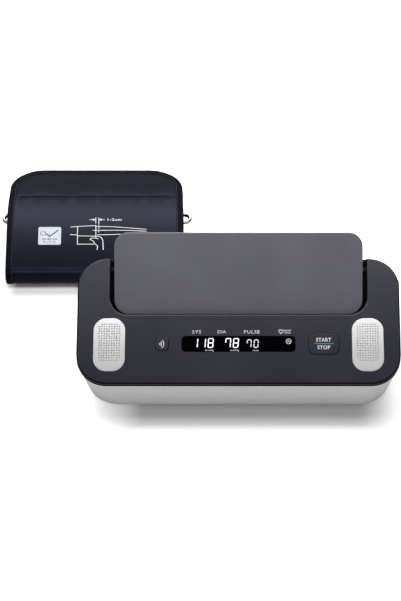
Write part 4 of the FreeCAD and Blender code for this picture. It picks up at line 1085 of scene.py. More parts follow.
@dataclass
class Legends:
    """Printed words and symbols on the cover and its buttons."""

    button_proud: float = 0.5
    words: tuple[tuple[str, float, float], ...] = (
        ("SYS", -30.86, 6.66), ("DIA", -12.33, 6.2), ("PULSE", 9.86, 11.6))  # words, middle, width
    words_s: float = 38.68
    words_capital: float = 2.55
    heart: Pair = (31.4, 38.9)
    heart_width: float = 3.4
    heart_stroke: float = 0.45
    beside: tuple[tuple[str, float, float], ...] = (("HEART", 5.2, 0.75), ("RATE", 4.2, -0.95))
    beside_x: float = 4.85  # from the heart to the middle of the words beside it
    beside_capital: float = 1.12
    start_stop: tuple[tuple[str, float, Pair], ...] = (
        ("START", 11.1, (62.74, 32.54)), ("STOP", 9.4, (62.78, 26.78)))  # word, width, middle
    button_capital: float = 2.9
    line: Pair = (62.9, 29.62)
    line_size: Pair = (14.8, 0.85)
    link: Pair = (-56.45, 29.36)
    link_radii: Pair = (1.8, 3.35)
    link_spread: float = 56.0  # degrees to either side
    link_stroke: float = 0.55
    link_x: Pair = (-1.9, -1.5)  # middle of its arcs and of its dot
    dot_radius: float = 0.6

    def heart_outline(self) -> Array:
        """A heart: x = 16 sin cubed t, y = 13 cos t - 5 cos 2t - 2 cos 3t - cos 4t, in 32nds of its width.

        Returns:
            (n, 2) points round the heart.
        """
        t = np.linspace(0, 2 * math.pi, 48, endpoint=False)
        x = 16 * np.sin(t) ** 3
        y = 13 * np.cos(t) - 5 * np.cos(2 * t) - 2 * np.cos(3 * t) - np.cos(4 * t)
        return np.stack([x, y], -1) * self.heart_width / 32

    def build(self) -> dict[str, tuple[Shape, str, PrintInk]]:
        """Works out all prints.

        Returns:
            Shape, body and ink by piece name.
        """
        flat = (-PRINT_SINK, PRINT_RISE)
        cap = (self.button_proud - PRINT_SINK, self.button_proud + PRINT_RISE)
        words = [lettering(w, self.words_capital, *flat, width=width).moved(x, self.words_s)
                 for w, x, width in self.words]
        beside = [lettering(w, self.beside_capital, *flat, Weight.BOLD, width).moved(
            self.heart[0] + self.beside_x, self.heart[1] + rise) for w, width, rise in self.beside]
        heart = ribbon(self.heart_outline(), self.heart_stroke, *flat, closed=True).moved(*self.heart)
        start_stop = [lettering(w, self.button_capital, *cap, Weight.BOLD, width).moved(*place)
                      for w, width, place in self.start_stop]
        half = self.line_size[0] / 2
        line = ribbon(np.array([[-half, 0.0], [half, 0.0]]), self.line_size[1], *cap).moved(*self.line)
        waves = [ribbon(arc(radius, -self.link_spread, self.link_spread, 12), self.link_stroke,
                        *cap).moved(self.link_x[0], 0) for radius in self.link_radii]
        dot = prism(arc(self.dot_radius, 0, 360, 16)[:-1], *cap).moved(self.link_x[1], 0)
        return {"legend_words": (joined(words), "monitor", WHITE_INK),
                "legend_heart": (joined([heart] + beside), "monitor", WHITE_INK),
                "legend_start_stop": (joined(start_stop), "start_button", WHITE_INK),
                "legend_start_line": (line, "start_button", TEAL_INK),
                "legend_connection": (joined(waves + [dot]).moved(*self.link), "link_button", WHITE_INK)}

    def dress(self) -> None:
        """Makes the prints."""
        for name, (shape, body, ink) in self.build().items():
            make_piece(name, shape, on_slope, body, "cover_plastic", ink, smooth=False)


@dataclass
class Trim:
    """Narrow mouldings on the monitor: black bands round the cover's rim as painted shade, a band round the
    casing's rim painted brighter as a highlight, and cheeks beside the open plate.
    """

    half: float = 119.4
    length: float = 96.0
    corner: float = 22.0
    seam_step: float = 0.3
    # black bands down the cover's rim, painted as its shade
    cover_shade_bands: tuple[Triple, ...] = ((0.02, 1.2, 0.8), (2.2, 3.38, 0.4))  # top, bottom, width
    cover_proud: float = 0.06
    # band on the casing's rim, painted brighter than the casing as a highlight
    casing_highlight_band: Triple = (3.5, 4.4, 0.4)
    casing_proud: float = 0.12
    cheek_x: Pair = (93.0, 95.35)
    cheek_y: Pair = (80.75, 82.8)
    cheek_z: Pair = (75.4, 79.1)

    def outline(self, inset: float) -> Array:
        """The rim's plan on the face, from one wing's rear corner round the front to the other's.

        Two straight sides and the front are joined by quarter circles about the corners.

        Args:
            inset: how far inside the cover's edge it lies.
        Returns:
            (n, 2) points, x and s.
        """
        centre = np.array([self.half - self.corner, self.corner])
        front = arc(self.corner - inset, -90, 0, 24) + centre
        rear = arc(self.corner - inset, 0, 12, 5) + [centre[0], self.length - self.corner]
        side = np.concatenate([front, rear])
        return np.concatenate([side[::-1] * [-1, 1], side])

    def build(self) -> dict[str, tuple[Shape, Placing, str, Finish | None]]:
        """Works out the mouldings.

        Returns:
            Shape, its placing, its material slot and its own finish by piece name.
        """
        # the cover's rim bands take the well's black as painted shade
        bands = [ribbon(self.outline(wide / 2 - self.cover_proud), wide, top, bottom)
                 for top, bottom, wide in self.cover_shade_bands]
        top, bottom, wide = self.casing_highlight_band
        casing = ribbon(self.outline(self.seam_step + wide / 2 - self.casing_proud), wide, top, bottom)
        (left, right), (front, rear) = self.cheek_x, self.cheek_y
        corners = np.array([(left, front), (right, front), (right, rear), (left, rear)])
        cheeks = joined(prism(corners * [side.value, 1], *self.cheek_z) for side in Side)
        return {"cover_rim_shade_bands": (joined(bands), on_rim, "well_plastic", None),
                "casing_rim_highlight_band": (casing, on_rim, "casing_plastic", PAINTED_HIGHLIGHT_EDGE),
                "well_rear_cheeks": (cheeks, to_frame, "well_plastic", None)}

    def dress(self) -> None:
        """Makes the mouldings."""
        for name, (shape, place, slot, finish) in self.build().items():
            make_piece(name, shape, place, "monitor", slot, finish, smooth=False)


# ---------------------------------------------------------------- cuff
@dataclass
class CuffSheet:
    """The folded wrap as a sheet: x across it and t along it, from the flap's end round the fold."""

    middle_x: float = CUFF_MIDDLE_X
    half: float = 71.9
    front: float = 130.0
    rear: float = 263.3
    under_rear: float = 254.0
    seam: float = CUFF_SEAM_Y
    height: float = 22.0
    rear_height: float = 13.0
    thick: float = 4.0
    corner: float = 29.0
    cloth: float = 3.3
    cloth_inset: float = 1.2  # how far the cloth stays inside the binding's edge
    binding: float = 5.5
    binding_nose: float = 1.7
    binding_pitch: float = 1.3
    bulge: Triple = (0.4, 205.0, 26.0)  # extra half width before the seam, its middle and its reach
    slip: Pair = (0.85, 14.0)  # how far the cloth before the seam has slipped, and its reach
    groove: Pair = (0.6, 1.4)  # the seam's depth and reach
    groove_end: Pair = (67.0, 4.0)  # where the groove ends beside the middle, and over what width
    dip: Triple = (2.3, 17.0, 16.0)  # depth at the seam, and its reach before and behind it
    dip_end: Pair = (72.0, 9.0)
    sag: float = 6.1  # how far the cloth sinks before the fold
    sag_start: float = 14.0  # before the seam
    sag_nose: float = 24.0  # the way round the fold in which the sag ends
    pucker: Triple = (0.14, 3.0, 4.5)  # height, middle before the seam and reach
    stitch_pitch: float = 3.2
    stitch_inset: float = 5.0
    edge_stitch: float = 3.1
    seam_stitch: float = 2.3
    seam_stitches_half: float = 64.0
    stitches_stop: float = 6.0  # before the underside
    direction_span: float = 0.4  # to either side of a place whose direction is taken

    def __post_init__(self) -> None:
        """Lays out the profile as a table of places along the sheet's middle.

        It runs straight up from the flap's end to the seam, level to the fold, round it in
        a half circle and level back below.
        """
        radius = (self.height - self.thick) / 2
        fold = self.front + self.height / 2
        low, high = self.thick / 2, self.height - self.thick / 2
        turn = np.linspace(0, math.pi, 160)[1:]
        runs = [np.linspace([self.rear, self.rear_height - low], [self.seam, high], 120),
                np.linspace([self.seam, high], [fold, high], 240)[1:],
                np.stack([fold - radius * np.sin(turn), low + radius + radius * np.cos(turn)], -1),
                np.linspace([fold, low], [self.under_rear, low], 300)[1:]]
        self.profile = np.concatenate(runs)
        self.table = lengths(self.profile)
        ends = np.cumsum([len(run) for run in runs]) - 1
        self.seam_t, self.fold_t, self.under_t, self.length = self.table[ends].tolist()

    def along(self, t: Array) -> tuple[Array, Array]:
        """The middle line's y and z at distances t."""
        return np.interp(t, self.table, self.profile[:, 0]), np.interp(t, self.table, self.profile[:, 1])

    def half_width(self, t: Array) -> Array:
        """Half the sheet's width along it.

        Full width and a slight bulge before the seam, less the round of the corners at both
        ends: radius - root of (radius squared - way past the corner's centre squared).

        Args:
            t: along the sheet.
        Returns:
            Millimetres at each place.
        """
        y, _ = self.along(t)
        end = np.where(t < self.under_t, self.rear, self.under_rear)
        past = np.clip(y - (end - self.corner), 0, self.corner)
        extra, middle, reach = self.bulge
        round_off = self.corner - np.sqrt(np.maximum(self.corner ** 2 - past ** 2, 0))
        return self.half + extra * bell(y, middle, reach) - round_off

    def seam_form(self, x: Array, t: Array) -> Array:
        """How the cloth lies about the seam.

        A narrow groove and small puckers before it are bells across the seam. The cloth
        dips towards it as e to the power of minus the distance over the reach.

        Args:
            x: across the cuff, from its middle.
            t: along the sheet.
        Returns:
            Millimetres along the outward normal.
        """
        across, beside = (np.clip((end - np.abs(x)) / width, 0, 1)
                          for end, width in (self.groove_end, self.dip_end))
        groove = -self.groove[0] * across * bell(t, self.seam_t, self.groove[1])
        depth, before, behind = self.dip
        ahead = t - self.seam_t
        dip = -depth * beside * np.exp(-np.abs(ahead) / np.where(ahead > 0, before, behind))
        height, middle, reach = self.pucker
        waves = np.sin(x / 1.9 + np.sin(x / 7)) + 0.7 * np.sin(x / 3.1 + 1)
        return groove + dip + height * across * bell(ahead, middle, reach) * waves

    def fold_form(self, t: Array) -> Array:
        """How the cloth sags before the fold.

        It sinks as the square of the way to the fold, and a cubic with the same slope
        brings it back round the turn.

        Args:
            t: along the sheet.
        Returns:
            Millimetres along the outward normal.
        """
        start = self.seam_t + self.sag_start
        run = self.fold_t - start
        sinking = np.clip((t - start) / run, 0, 1) ** 2
        u = np.clip((t - self.fold_t) / self.sag_nose, 0, 1)
        ending = 2 * u ** 3 - 3 * u ** 2 + 1 + 2 * self.sag_nose / run * (u ** 3 - 2 * u ** 2 + u)
        return -self.sag * np.where(u > 0, ending, sinking)

    def drape(self, x: Array, t: Array) -> Array:
        """How far the cloth stands off its middle line.

        To the forms of the seam and the fold come slow sines across and along the cloth,
        which make it lie unevenly. Bells about the middle of the flap and of the fold keep
        them off the printed area, the label and the floor.

        Args:
            x: across the cuff, from its middle.
            t: along the sheet.
        Returns:
            Millimetres along the outward normal.
        """
        flap = bell(t, self.seam_t / 2, 13)
        waves = 0.30 * np.sin(x / 9.5 + 0.8 * np.sin(t / 17)) + 0.22 * np.sin(x / 5.2 + t / 21 + 1.3)
        fold = bell(t, (self.fold_t + self.under_t) / 2, 12)
        swell = 0.35 * np.sin(x / 16 + 0.6) + 0.2 * np.sin(x / 6.5 + 2.0)
        return self.seam_form(x, t) + self.fold_form(t) + flap * (waves - 0.4) + fold * (swell - 0.55)

    def surface(self, x: Array, t: Array) -> Array:
        """Points of the sheet's middle.

        Before the seam the cloth has slipped sideways, by the slip times 1 - e to the power
        of minus the way over its reach.

        Args:
            x: across the cuff, from its middle.
            t: along the sheet.
        Returns:
            Points in the cuff's coordinates.
        """
        y, z = self.along(t)
        slip = self.slip[0] * (1 - np.exp(-np.maximum(self.seam - y, 0) / self.slip[1]))
        return np.stack([self.middle_x + x - slip, y, z], -1) + self.normal(t) * self.drape(x, t)[..., None]

    def normal(self, t: Array) -> Array:
        """Outward normal of the profile: its direction there, turned by a right angle.

        Args:
            t: along the sheet.
        Returns:
            Unit vectors.
        """
        (y0, z0), (y1, z1) = (self.along(np.clip(t + way, 0, self.length))
                              for way in (-self.direction_span, self.direction_span))
        return unit(np.stack([np.zeros_like(t), z1 - z0, y0 - y1], -1))

    def loop(self, pitch: float) -> tuple[Array, Array]:
        """The sheet's edge as a closed line of even steps.

        Args:
            pitch: length of a step.
        Returns:
            x and t at each step.
        """
        t_side = (1 - np.cos(np.linspace(0, math.pi, 900))) / 2 * self.length
        w_side = self.half_width(t_side)
        ends = np.linspace(-1, 1, 60)
        x = np.concatenate([ends * w_side[0], w_side[1:], -ends[1:] * w_side[-1], -w_side[::-1][1:]])
        t = np.concatenate([np.zeros(60), t_side[1:], np.full(59, self.length), t_side[::-1][1:]])
        whole = lengths(self.surface(x, t))
        at = np.linspace(0, whole[-1], int(whole[-1] / pitch), endpoint=False)
        return np.interp(at, whole, x), np.interp(at, whole, t)

    def edge_frame(self, x: Array, t: Array) -> tuple[Array, Array, Array, Array]:
        """Point, forward, inward and outward-facing directions along the sheet's edge.

        Args:
            x: across, at each step of a closed line.
            t: along, at each step.
        Returns:
            Four arrays of vectors: place, forward, inward, normal.
        """
        place = self.surface(x, t)
        forward = ring_tangents(place)
        normal = self.normal(t)
        inward = unit(np.cross(normal, forward))
        middle = np.stack([np.full(len(t), self.middle_x), place[:, 1], place[:, 2]], -1)
        wrong = ((middle - place) * inward).sum(1).mean() < 0
        return place, forward, -inward if wrong else inward, normal

    def build_wrap(self, rows: int = 300, columns: int = 110) -> Shape:
        """The cloth itself: its outer and inner faces joined round the edge.

        Both faces are the middle surface moved half the cloth's thickness along its normal.
        The rows lie closer at both ends and about the seam.

        Args:
            rows: points along the sheet, without those about the seam.
            columns: points across it.
        Returns:
            A closed solid with the cloth's own map.
        """
        closer = (1 - np.cos(np.linspace(0, math.pi, rows))) / 2
        share = 0.35 * closer + 0.65 * np.linspace(0, 1, rows)
        t = self.cloth_inset + share * (self.length - 2 * self.cloth_inset)
        t = np.sort(np.concatenate([t, self.seam_t + np.linspace(-2.5, 2.5, 21)]))
        x = np.linspace(-1, 1, columns)[None] * (self.half_width(t)[:, None] - self.cloth_inset)
        grid_t = np.repeat(t[:, None], columns, 1)
        middle, off = self.surface(x, grid_t), self.normal(grid_t) * self.cloth / 2
        points = np.concatenate([middle + off, (middle - off)[:, ::-1]], 1)
        flat = np.stack([x, grid_t], -1)
        uv = np.concatenate([flat, flat[:, ::-1]], 1)
        quads = grid_quads(len(t), 2 * columns, ring_columns=True)
        return Shape(points.reshape(-1, 3), [quads] + end_strips(len(t), 2 * columns), uv.reshape(-1, 2))

    def build_binding(self) -> Shape:
        """The tape folded over the edge: a flat-sided, round-nosed section carried round it.

        Returns:
            A closed ring with its own map, length first.
        """
        half, wide = self.thick / 2, self.binding
        nose = np.radians(np.linspace(-90, 90, 11))
        outer = np.stack([self.binding_nose * (1 - np.cos(nose)), half * np.sin(nose)], -1)
        upper = np.array([[wide * 0.6, half - 0.03], [wide - 0.25, half], [wide, half - 0.3]])
        section = np.concatenate([outer, upper, upper[::-1] * [1, -1]])
        x, t = self.loop(self.binding_pitch)
        place, _, inward, normal = self.edge_frame(x, t)
        points = (place[:, None] + inward[:, None] * section[None, :, :1]
                  + normal[:, None] * section[None, :, 1:])
        way = np.arange(len(t)) * self.binding_pitch
        uv = np.stack(np.meshgrid(way, lengths(section), indexing="ij"), -1)
        quads = grid_quads(len(t), len(section), ring_rows=True, ring_columns=True)
        return Shape(points.reshape(-1, 3), [quads], uv.reshape(-1, 2))

    def stitches(self, place: Array, forward: Array, up: Array, long: float,
                 radius: float = 0.24) -> Shape:
        """Short rounded threads, one at each place.

        A thread is a tube of five rings of six points whose radius falls off towards its
        two ends as a half ellipse.

        Args:
            place: (n, 3) middles.
            forward: (n, 3) directions along the thread.
            up: (n, 3) directions off the cloth.
            long: length of a thread.
            radius: its radius.
        Returns:
            All threads in one shape.
        """
        side = np.cross(up, forward)
        share = np.array([-1.0, -0.7, 0.0, 0.7, 1.0])
        size = np.sqrt(1.04 - share ** 2)
        turn = np.arange(6) * math.pi / 3
        rings = (place[:, None, None] + forward[:, None, None] * (share * long / 2)[None, :, None, None]
                 + (side[:, None, None] * np.cos(turn)[None, None, :, None]
                    + up[:, None, None] * np.sin(turn)[None, None, :, None])
                 * (size * radius)[None, :, None, None])
        starts = (np.arange(len(place)) * 30)[:, None, None]
        caps = np.array([[5, 4, 3, 2, 1, 0], [24, 25, 26, 27, 28, 29]])
        return Shape(rings.reshape(-1, 3), [(grid_quads(5, 6, ring_columns=True) + starts).reshape(-1, 4),
                                            (caps + starts).reshape(-1, 6)])

    def build_stitching(self) -> Shape:
        """A close row of threads along the binding's inner edge and one in the seam's groove.

        Returns:
            All threads on the outer face above the fold.
        """
        x, t = self.loop(self.stitch_pitch)
        place, forward, inward, normal = self.edge_frame(x, t)
        seen = t < self.under_t - self.stitches_stop
        edge = self.stitches((place + inward * self.stitch_inset + normal * self.thick / 2)[seen],
                             forward[seen], normal[seen], self.edge_stitch)
        across = np.arange(-self.seam_stitches_half, self.seam_stitches_half + 0.1, self.stitch_pitch)
        where = np.full(len(across), self.seam_t)
        middle = self.surface(across, where) + self.normal(where) * self.cloth / 2
        seam = self.stitches(middle, np.tile([1.0, 0.0, 0.0], (len(across), 1)), self.normal(where),
                             self.seam_stitch)
        return joined([edge, seam])

    def top_height(self, x: Array, y: Array) -> Array:
        """Height of the upper ply's outer face over plan points in front of the seam."""
        t = self.seam_t + (self.seam - y)
        return self.surface(x - self.middle_x, t)[..., 2] + self.cloth / 2

    def dress(self) -> None:
        """Makes the wrap, its binding and its stitching."""
        wrap = make_piece("cuff_cloth", self.build_wrap(), on_cuff, "cuff", "cuff_nylon")
        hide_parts("cuff_wrap")
        binding = make_piece("cuff_edge_tape", self.build_binding(), on_cuff, "cuff", "cuff_tape")
        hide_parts("cuff_binding")
        stitching = make_piece("cuff_stitching", self.build_stitching(), on_cuff, "cuff", "cuff_tape",
                               THREAD)


@dataclass
class InnerSection:
    """The flat padded section between the plies, with the bladder inside it."""

    sheet: CuffSheet
    middle_x: float = CUFF_MIDDLE_X
    half: float = 70.5
    front: float = 141.0
    rear: float = 195.0
    low: float = 4.3
    high: float = 17.7
    pull: float = 1.2  # how far the sides pull in between the corners
    clearance: float = 0.3  # below the upper ply

    def build(self) -> Shape:
        """A flattened pillow.

        Over a square map (p, q) from -1 to 1 the plan point pulls in between the corners,
        and the half height is (1 - p ** 12) (1 - q ** 6) to the power 0.42, less slight
        wrinkles. Its top stays below the upper ply.

        Returns:
            A closed solid with its own map.
        """
        p, q = np.meshgrid(np.sin(np.linspace(-1, 1, 90) * math.pi / 2),
                           np.sin(np.linspace(-1, 1, 50) * math.pi / 2))
        x = self.middle_x + p * (self.half - self.pull * (1 - q ** 2))
        y = (self.front + self.rear) / 2 + q * ((self.rear - self.front) / 2 - self.pull * (1 - p ** 2))
        rise = ((1 - np.abs(p) ** 12) * (1 - np.abs(q) ** 6)).clip(0) ** 0.42
        wrinkle = (1 - 0.035 * np.sin(x / 6 + 1) * np.sin(y / 9)).clip(0, 1)
        high = np.minimum(self.high, self.sheet.top_height(x, y) - self.sheet.cloth - self.clearance)
        middle, half = (self.low + high) / 2, (high - self.low) / 2
        points = np.concatenate([np.stack([x, y, middle + side * half * rise * wrinkle], -1).reshape(-1, 3)
                                 for side in (1, -1)])
        upper = np.arange(p.size).reshape(p.shape)
        lower = upper + p.size
        lower[[0, -1]], lower[:, [0, -1]] = upper[[0, -1]], upper[:, [0, -1]]
        quads = grid_quads(*p.shape)
        faces = np.concatenate([quads, lower.reshape(-1)[quads][:, ::-1]])
        used, renumbered = np.unique(faces, return_inverse=True)
        return Shape(points[used], [renumbered.reshape(-1, 4)], points[used][:, :2])

    def dress(self) -> None:
        """Makes the padded section and hides its plain solid."""
        piece = make_piece("cuff_padded_section", self.build(), on_cuff, "cuff", "cuff_lining")
        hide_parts("cuff_inner_section")


@dataclass
class RingLoop:
    """Cloth strip that goes round the ring's front bar and is sewn to the padded section."""

    middle_x: float = RING_MIDDLE_X
    half: float = 62.0
    strip: float = 22.0  # length of the strip, laid flat
    bar_y: float = RING_BAR_Y
    bar_z: float = RING_BAR_Z
    tab_y: Pair = (194.0, 198.0)  # the sewn tab, up to where the strip leaves it for the bar
    loop_r: float = 2.15
    thick: float = 0.7
    gap: float = 0.55  # half the way between the two plies' middles, as a share of the thickness
    gather: Pair = (0.012, 2.7)  # swell of the gathers along x, and their length over 2 pi

    def build(self, columns: int = 90) -> Shape:
        """A strip carried round the bar.

        Its middle line runs in flat, round the bar in a circle and back; the strip is that
        line moved half the thickness to both sides, and along x it is slightly gathered.

        Args:
            columns: points along the bar.
        Returns:
            A closed solid with its own map.
        """
        bar = np.array([self.bar_y, self.bar_z])
        gap = self.thick * self.gap
        top = np.array([[y, self.bar_z + gap] for y in self.tab_y])
        line = np.concatenate([top, arc(self.loop_r, 150, -150, 39) + bar, top[::-1] - [0, 2 * gap]])
        step = unit(np.gradient(line, axis=0))
        side = np.stack([-step[:, 1], step[:, 0]], -1) * self.thick / 2
        section = np.concatenate([line + side, (line - side)[::-1]])
        x = np.linspace(-self.half, self.half, columns)
        swell, length = self.gather
        yz = (section[None] - bar) * (1 + swell * np.sin(x / length))[:, None, None] + bar
        n = len(section)
        points = np.concatenate([np.repeat(x[:, None, None] + self.middle_x, n, 1), yz], -1)
        uv = np.stack(np.meshgrid(x, lengths(section), indexing="ij"), -1)
        return Shape(points.reshape(-1, 3), [grid_quads(columns, n, ring_columns=True)]
                     + end_strips(columns, n), uv.reshape(-1, 2))

    def dress(self) -> None:
        """Makes the loop and hides its plain solid."""
        piece = make_piece("cuff_bar_loop", self.build(), to_frame, "cuff", "cuff_tape")
        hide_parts("cuff_ring_loop")


@dataclass
class WireRing:
    """The flat wire ring at the cuff's end: two bars joined by half circles."""

    middle_x: float = RING_MIDDLE_X
    half: float = 77.3
    bar_y: float = RING_BAR_Y
    gap: float = 9.3
    z: float = RING_BAR_Z
    wire: float = 1.5

    def build(self) -> Shape:
        """A circle carried along the ring's middle line.

        Returns:
            A closed ring.
        """
        radius = self.gap / 2
        end = arc(radius, -90, 90, 32) + [self.half - radius, 0]
        along = np.linspace(self.half - radius, radius - self.half, 80)[1:-1]
        bar = np.stack([along, np.full_like(along, radius)], -1)
        path = np.concatenate([end, bar, -end, -bar])
        forward = ring_tangents(path)
        side = np.stack([-forward[:, 1], forward[:, 0]], -1)
        around = np.linspace(0, 2 * math.pi, 25)[:-1]
        xy = path[:, None] + side[:, None] * (np.cos(around) * self.wire)[None, :, None]
        z = np.repeat((self.z + np.sin(around) * self.wire)[None], len(path), 0)
        points = np.concatenate([xy + [self.middle_x, self.bar_y + radius], z[..., None]], -1)
        return Shape(points.reshape(-1, 3), [grid_quads(len(path), 24, ring_rows=True, ring_columns=True)])

    def dress(self) -> None:
        """Makes the ring and hides its plain solid."""
        piece = make_piece("cuff_wire_ring", self.build(), to_frame, "cuff_ring", "ring_chrome")
        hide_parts("cuff_ring")


@dataclass
class ClothPatch:
    """A flat patch sewn or stuck on cloth: a rounded rectangle with a soft edge."""

    name: str
    node: str
    slot: str
    x: Pair
    y: Pair
    z: Pair
    corner: float
    lift: Pair = (0.0, 0.0)  # extra height at its front and rear edges
    soft: float = 0.35

    @property
    def middle(self) -> Pair:
        """The patch's middle in plan."""
        return sum(self.x) / 2, sum(self.y) / 2

    def laid(self, points: Array) -> Array:
        """Tilts points so that both edges lie on the cloth, and puts them into the frame."""
        rise = np.interp(points[:, 1], self.y, self.lift)
        return on_cuff(points + np.stack([0 * rise, 0 * rise, rise], -1))

    def build(self) -> Shape:
        """Rings of the outline: the side, a soft edge and the flat top, closed below.

        Returns:
            A closed solid with its own map.
        """
        width, height, thick = (span[1] - span[0] for span in (self.x, self.y, self.z))
        soft = min(self.soft, thick)
        rings = [(0.0, 0.0)] + [(soft * (1 - math.cos(a)), thick - soft + soft * math.sin(a))
                                for a in np.radians(np.linspace(0, 90, 5))]
        rings += [(self.corner * 0.6, thick), (self.corner * 0.95, thick)]
        solid = stacked([at_height(rounded_box(width - 2 * inset, height - 2 * inset,
                                               max(self.corner - inset, 0.01), 8), self.z[0] + rise)
                         for inset, rise in rings]).moved(*self.middle)
        return Shape(solid.points, solid.faces, solid.points[:, :2])

    def dress(self) -> None:
        """Makes the patch and hides its plain solid."""
        piece = make_piece(self.name, self.build(), self.laid, "cuff", self.slot, smooth=False)
        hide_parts(self.node)


def range_label(sheet: CuffSheet, clearance: float = 0.25) -> ClothPatch:
    """The label of arm sizes, tilted so that it lies on the sagging cloth.

    Args:
        sheet: the cloth below it.
        clearance: how far it is raised, so that no ripple comes through.
    Returns:
        The patch.
    """
    label = ClothPatch("cuff_range_label", "cuff_size_label", "label_vinyl", (-165.0, -146.5),
                       (163.0, 182.3), (21.7, 22.3), 1.5)
    lift = sheet.top_height(np.full(2, label.middle[0]), np.array(label.y)) - sheet.height + clearance
    return replace(label, lift=tuple(lift.tolist()))


def hook_square() -> ClothPatch:
    """The square of hooks below the flap."""
    return ClothPatch("cuff_hook_square", "cuff_hook_patch", "cuff_lining", (-168.2, -68.2),
                      (222.0, 247.0), (4.0, 5.2), 2.5)


@dataclass
class CuffPrints:
    """Line drawing of a cuff on an arm, and the marks on the label."""

    sheet: CuffSheet
    label: ClothPatch
    stroke: float = 0.62
    rise: Pair = (-0.02, 0.06)  # lower and upper face of the ink, above the cloth
    step: float = 2.0  # longest stretch of a line that needn't follow the cloth
    strokes: tuple[tuple[Pair, ...], ...] = (
        ((-138.9, 182.5), (-133.2, 183.2)),
        ((-118.3, 183.3), (-104.0, 182.9), (-91.2, 181.6), (-77.0, 180.0)),
        ((-120.9, 178.8), (-104.0, 179.0), (-90.9, 178.8), (-77.0, 177.8)),
        ((-139.4, 174.1), (-133.2, 173.8)), ((-133.2, 172.8), (-118.3, 172.4)),
        ((-117.3, 173.9), (-106.0, 174.1), (-98.4, 174.6)),
        ((-119.6, 163.9), (-133.2, 163.9), (-133.2, 183.2), (-118.3, 184.3), (-118.3, 170.4)),
        ((-118.3, 172.4), (-116.4, 172.4), (-114.2, 171.3), (-112.7, 168.4), (-112.4, 158.0)),
        ((-116.2, 169.4), (-118.8, 170.5), (-121.9, 170.3), (-122.9, 169.0), (-120.3, 167.1),
         (-119.3, 164.7), (-116.9, 161.9), (-117.3, 158.0)),
        ((-118.4, 186.8), (-118.4, 193.7)), ((-115.9, 186.0), (-115.9, 193.7)),
        ((-115.9, 183.9), (-115.9, 185.1)), ((-115.9, 180.6), (-115.9, 182.3)),
        ((-115.9, 176.6), (-115.9, 178.0)),
        ((-123.3, 191.1), (-119.2, 191.1)), ((-120.7, 192.2), (-119.0, 191.1), (-120.7, 190.0)),
        ((-110.9, 191.1), (-115.0, 191.1)), ((-113.5, 192.2), (-115.2, 191.1), (-113.5, 190.0)))
    distance: tuple[str, float, float, Pair] = ("1-2cm", 2.9, 11.6, (-103.0, 191.3))
    sizes: tuple[tuple[str, float, float, Pair], ...] = (
        ("22-42 cm", 2.3, 12.0, (0.0, -3.7)), ("9-17 in", 1.6, 10.0, (0.0, -6.8)))
    tick: tuple[Pair, ...] = ((-2.5, 2.0), (0.0, -0.8), (7.0, 6.0))
    tick_stroke: float = 1.0
    box: Triple = (4.0, 3.6, 0.5)  # width, height and corner, and its stroke
    box_place: Pair = (-5.2, 2.4)

    def on_cloth(self, points: Array) -> Array:
        """Lays flat prints on the upper ply: their height is added to the cloth's own there."""
        x, y, d = np.moveaxis(points, -1, 0)
        return on_cuff(np.stack([x, y, self.sheet.top_height(x, y) + d], -1))

    def finer(self, path: Array) -> Array:
        """Adds points to a path, one each step, so that it can follow the cloth.

        Args:
            path: (n, 2) points.
        Returns:
            The same path with more points.
        """
        way = lengths(path)
        at = np.unique(np.concatenate([way, np.arange(0, way[-1], self.step)]))
        return np.stack([np.interp(at, way, path[:, axis]) for axis in range(2)], -1)

    def drawing(self) -> Shape:
        """Arm lines, a wrapped cuff, its tube and a distance with two arrows.

        Returns:
            All strokes, over the cloth.
        """
        lines = [ribbon(self.finer(np.array(path)), self.stroke, *self.rise) for path in self.strokes]
        words, capital, width, place = self.distance
        return joined(lines + [lettering(words, capital, *self.rise, Weight.BOLD, width).moved(*place)])

    def label_marks(self) -> Shape:
        """A ticked box over the range of arm sizes.

        Returns:
            All marks, on the label.
        """
        ink = (self.label.z[1] - PRINT_SINK, self.label.z[1] + PRINT_RISE)
        tick = ribbon(np.array(self.tick), self.tick_stroke, *ink)
        box = ribbon(rounded_box(*self.box)[::-1] + self.box_place, self.box[2], *ink, closed=True)
        sizes = [lettering(words, capital, *ink, Weight.BOLD, width).moved(*place)
                 for words, capital, width, place in self.sizes]
        return joined([tick, box] + sizes).moved(*self.label.middle)

    def dress(self) -> None:
        """Makes the drawing and the label's marks."""
        make_piece("cuff_fitting_drawing", self.drawing(), self.on_cloth, "cuff", "cuff_nylon", WHITE_INK,
                   smooth=False)
        make_piece("cuff_label_marks", self.label_marks(), self.label.laid, "cuff", "label_vinyl",
                   LABEL_INK, smooth=False)


# ---------------------------------------------------------------- studio
@dataclass(frozen=True)
class ShadowPlan:
    """An oblong of the floor that shows shadows; it stays with a body. All in metres."""

    body: str
    place: Pair
    half: Pair
    reach: Pair  # over which the shadows fade beyond it
    least: float  # share of the floor's glow that is left inside


@dataclass(frozen=True)
class Softbox:
    """An oblong soft lamp: name, width and depth, watts, where it hangs and what it points at."""

    name: str
    size: Pair
    power: float
    place: Triple
    target: Triple

    def hang(self) -> None:
        """Hangs the lamp: tilted by the angle off straight down, turned by that of its way in plan."""
        data = bpy.data.lights.new(self.name, "AREA")
        data.shape, data.size, data.size_y, data.energy = "RECTANGLE", *self.size, self.power
        lamp = bpy.data.objects.new(self.name, data)
        bpy.context.scene.collection.objects.link(lamp)
        lamp.location = self.place
        aim = np.array(self.target) - np.array(self.place)
        lamp.rotation_euler = (math.atan2(math.hypot(aim[0], aim[1]), -aim[2]), 0.0,
                               math.atan2(-aim[0], aim[1]))


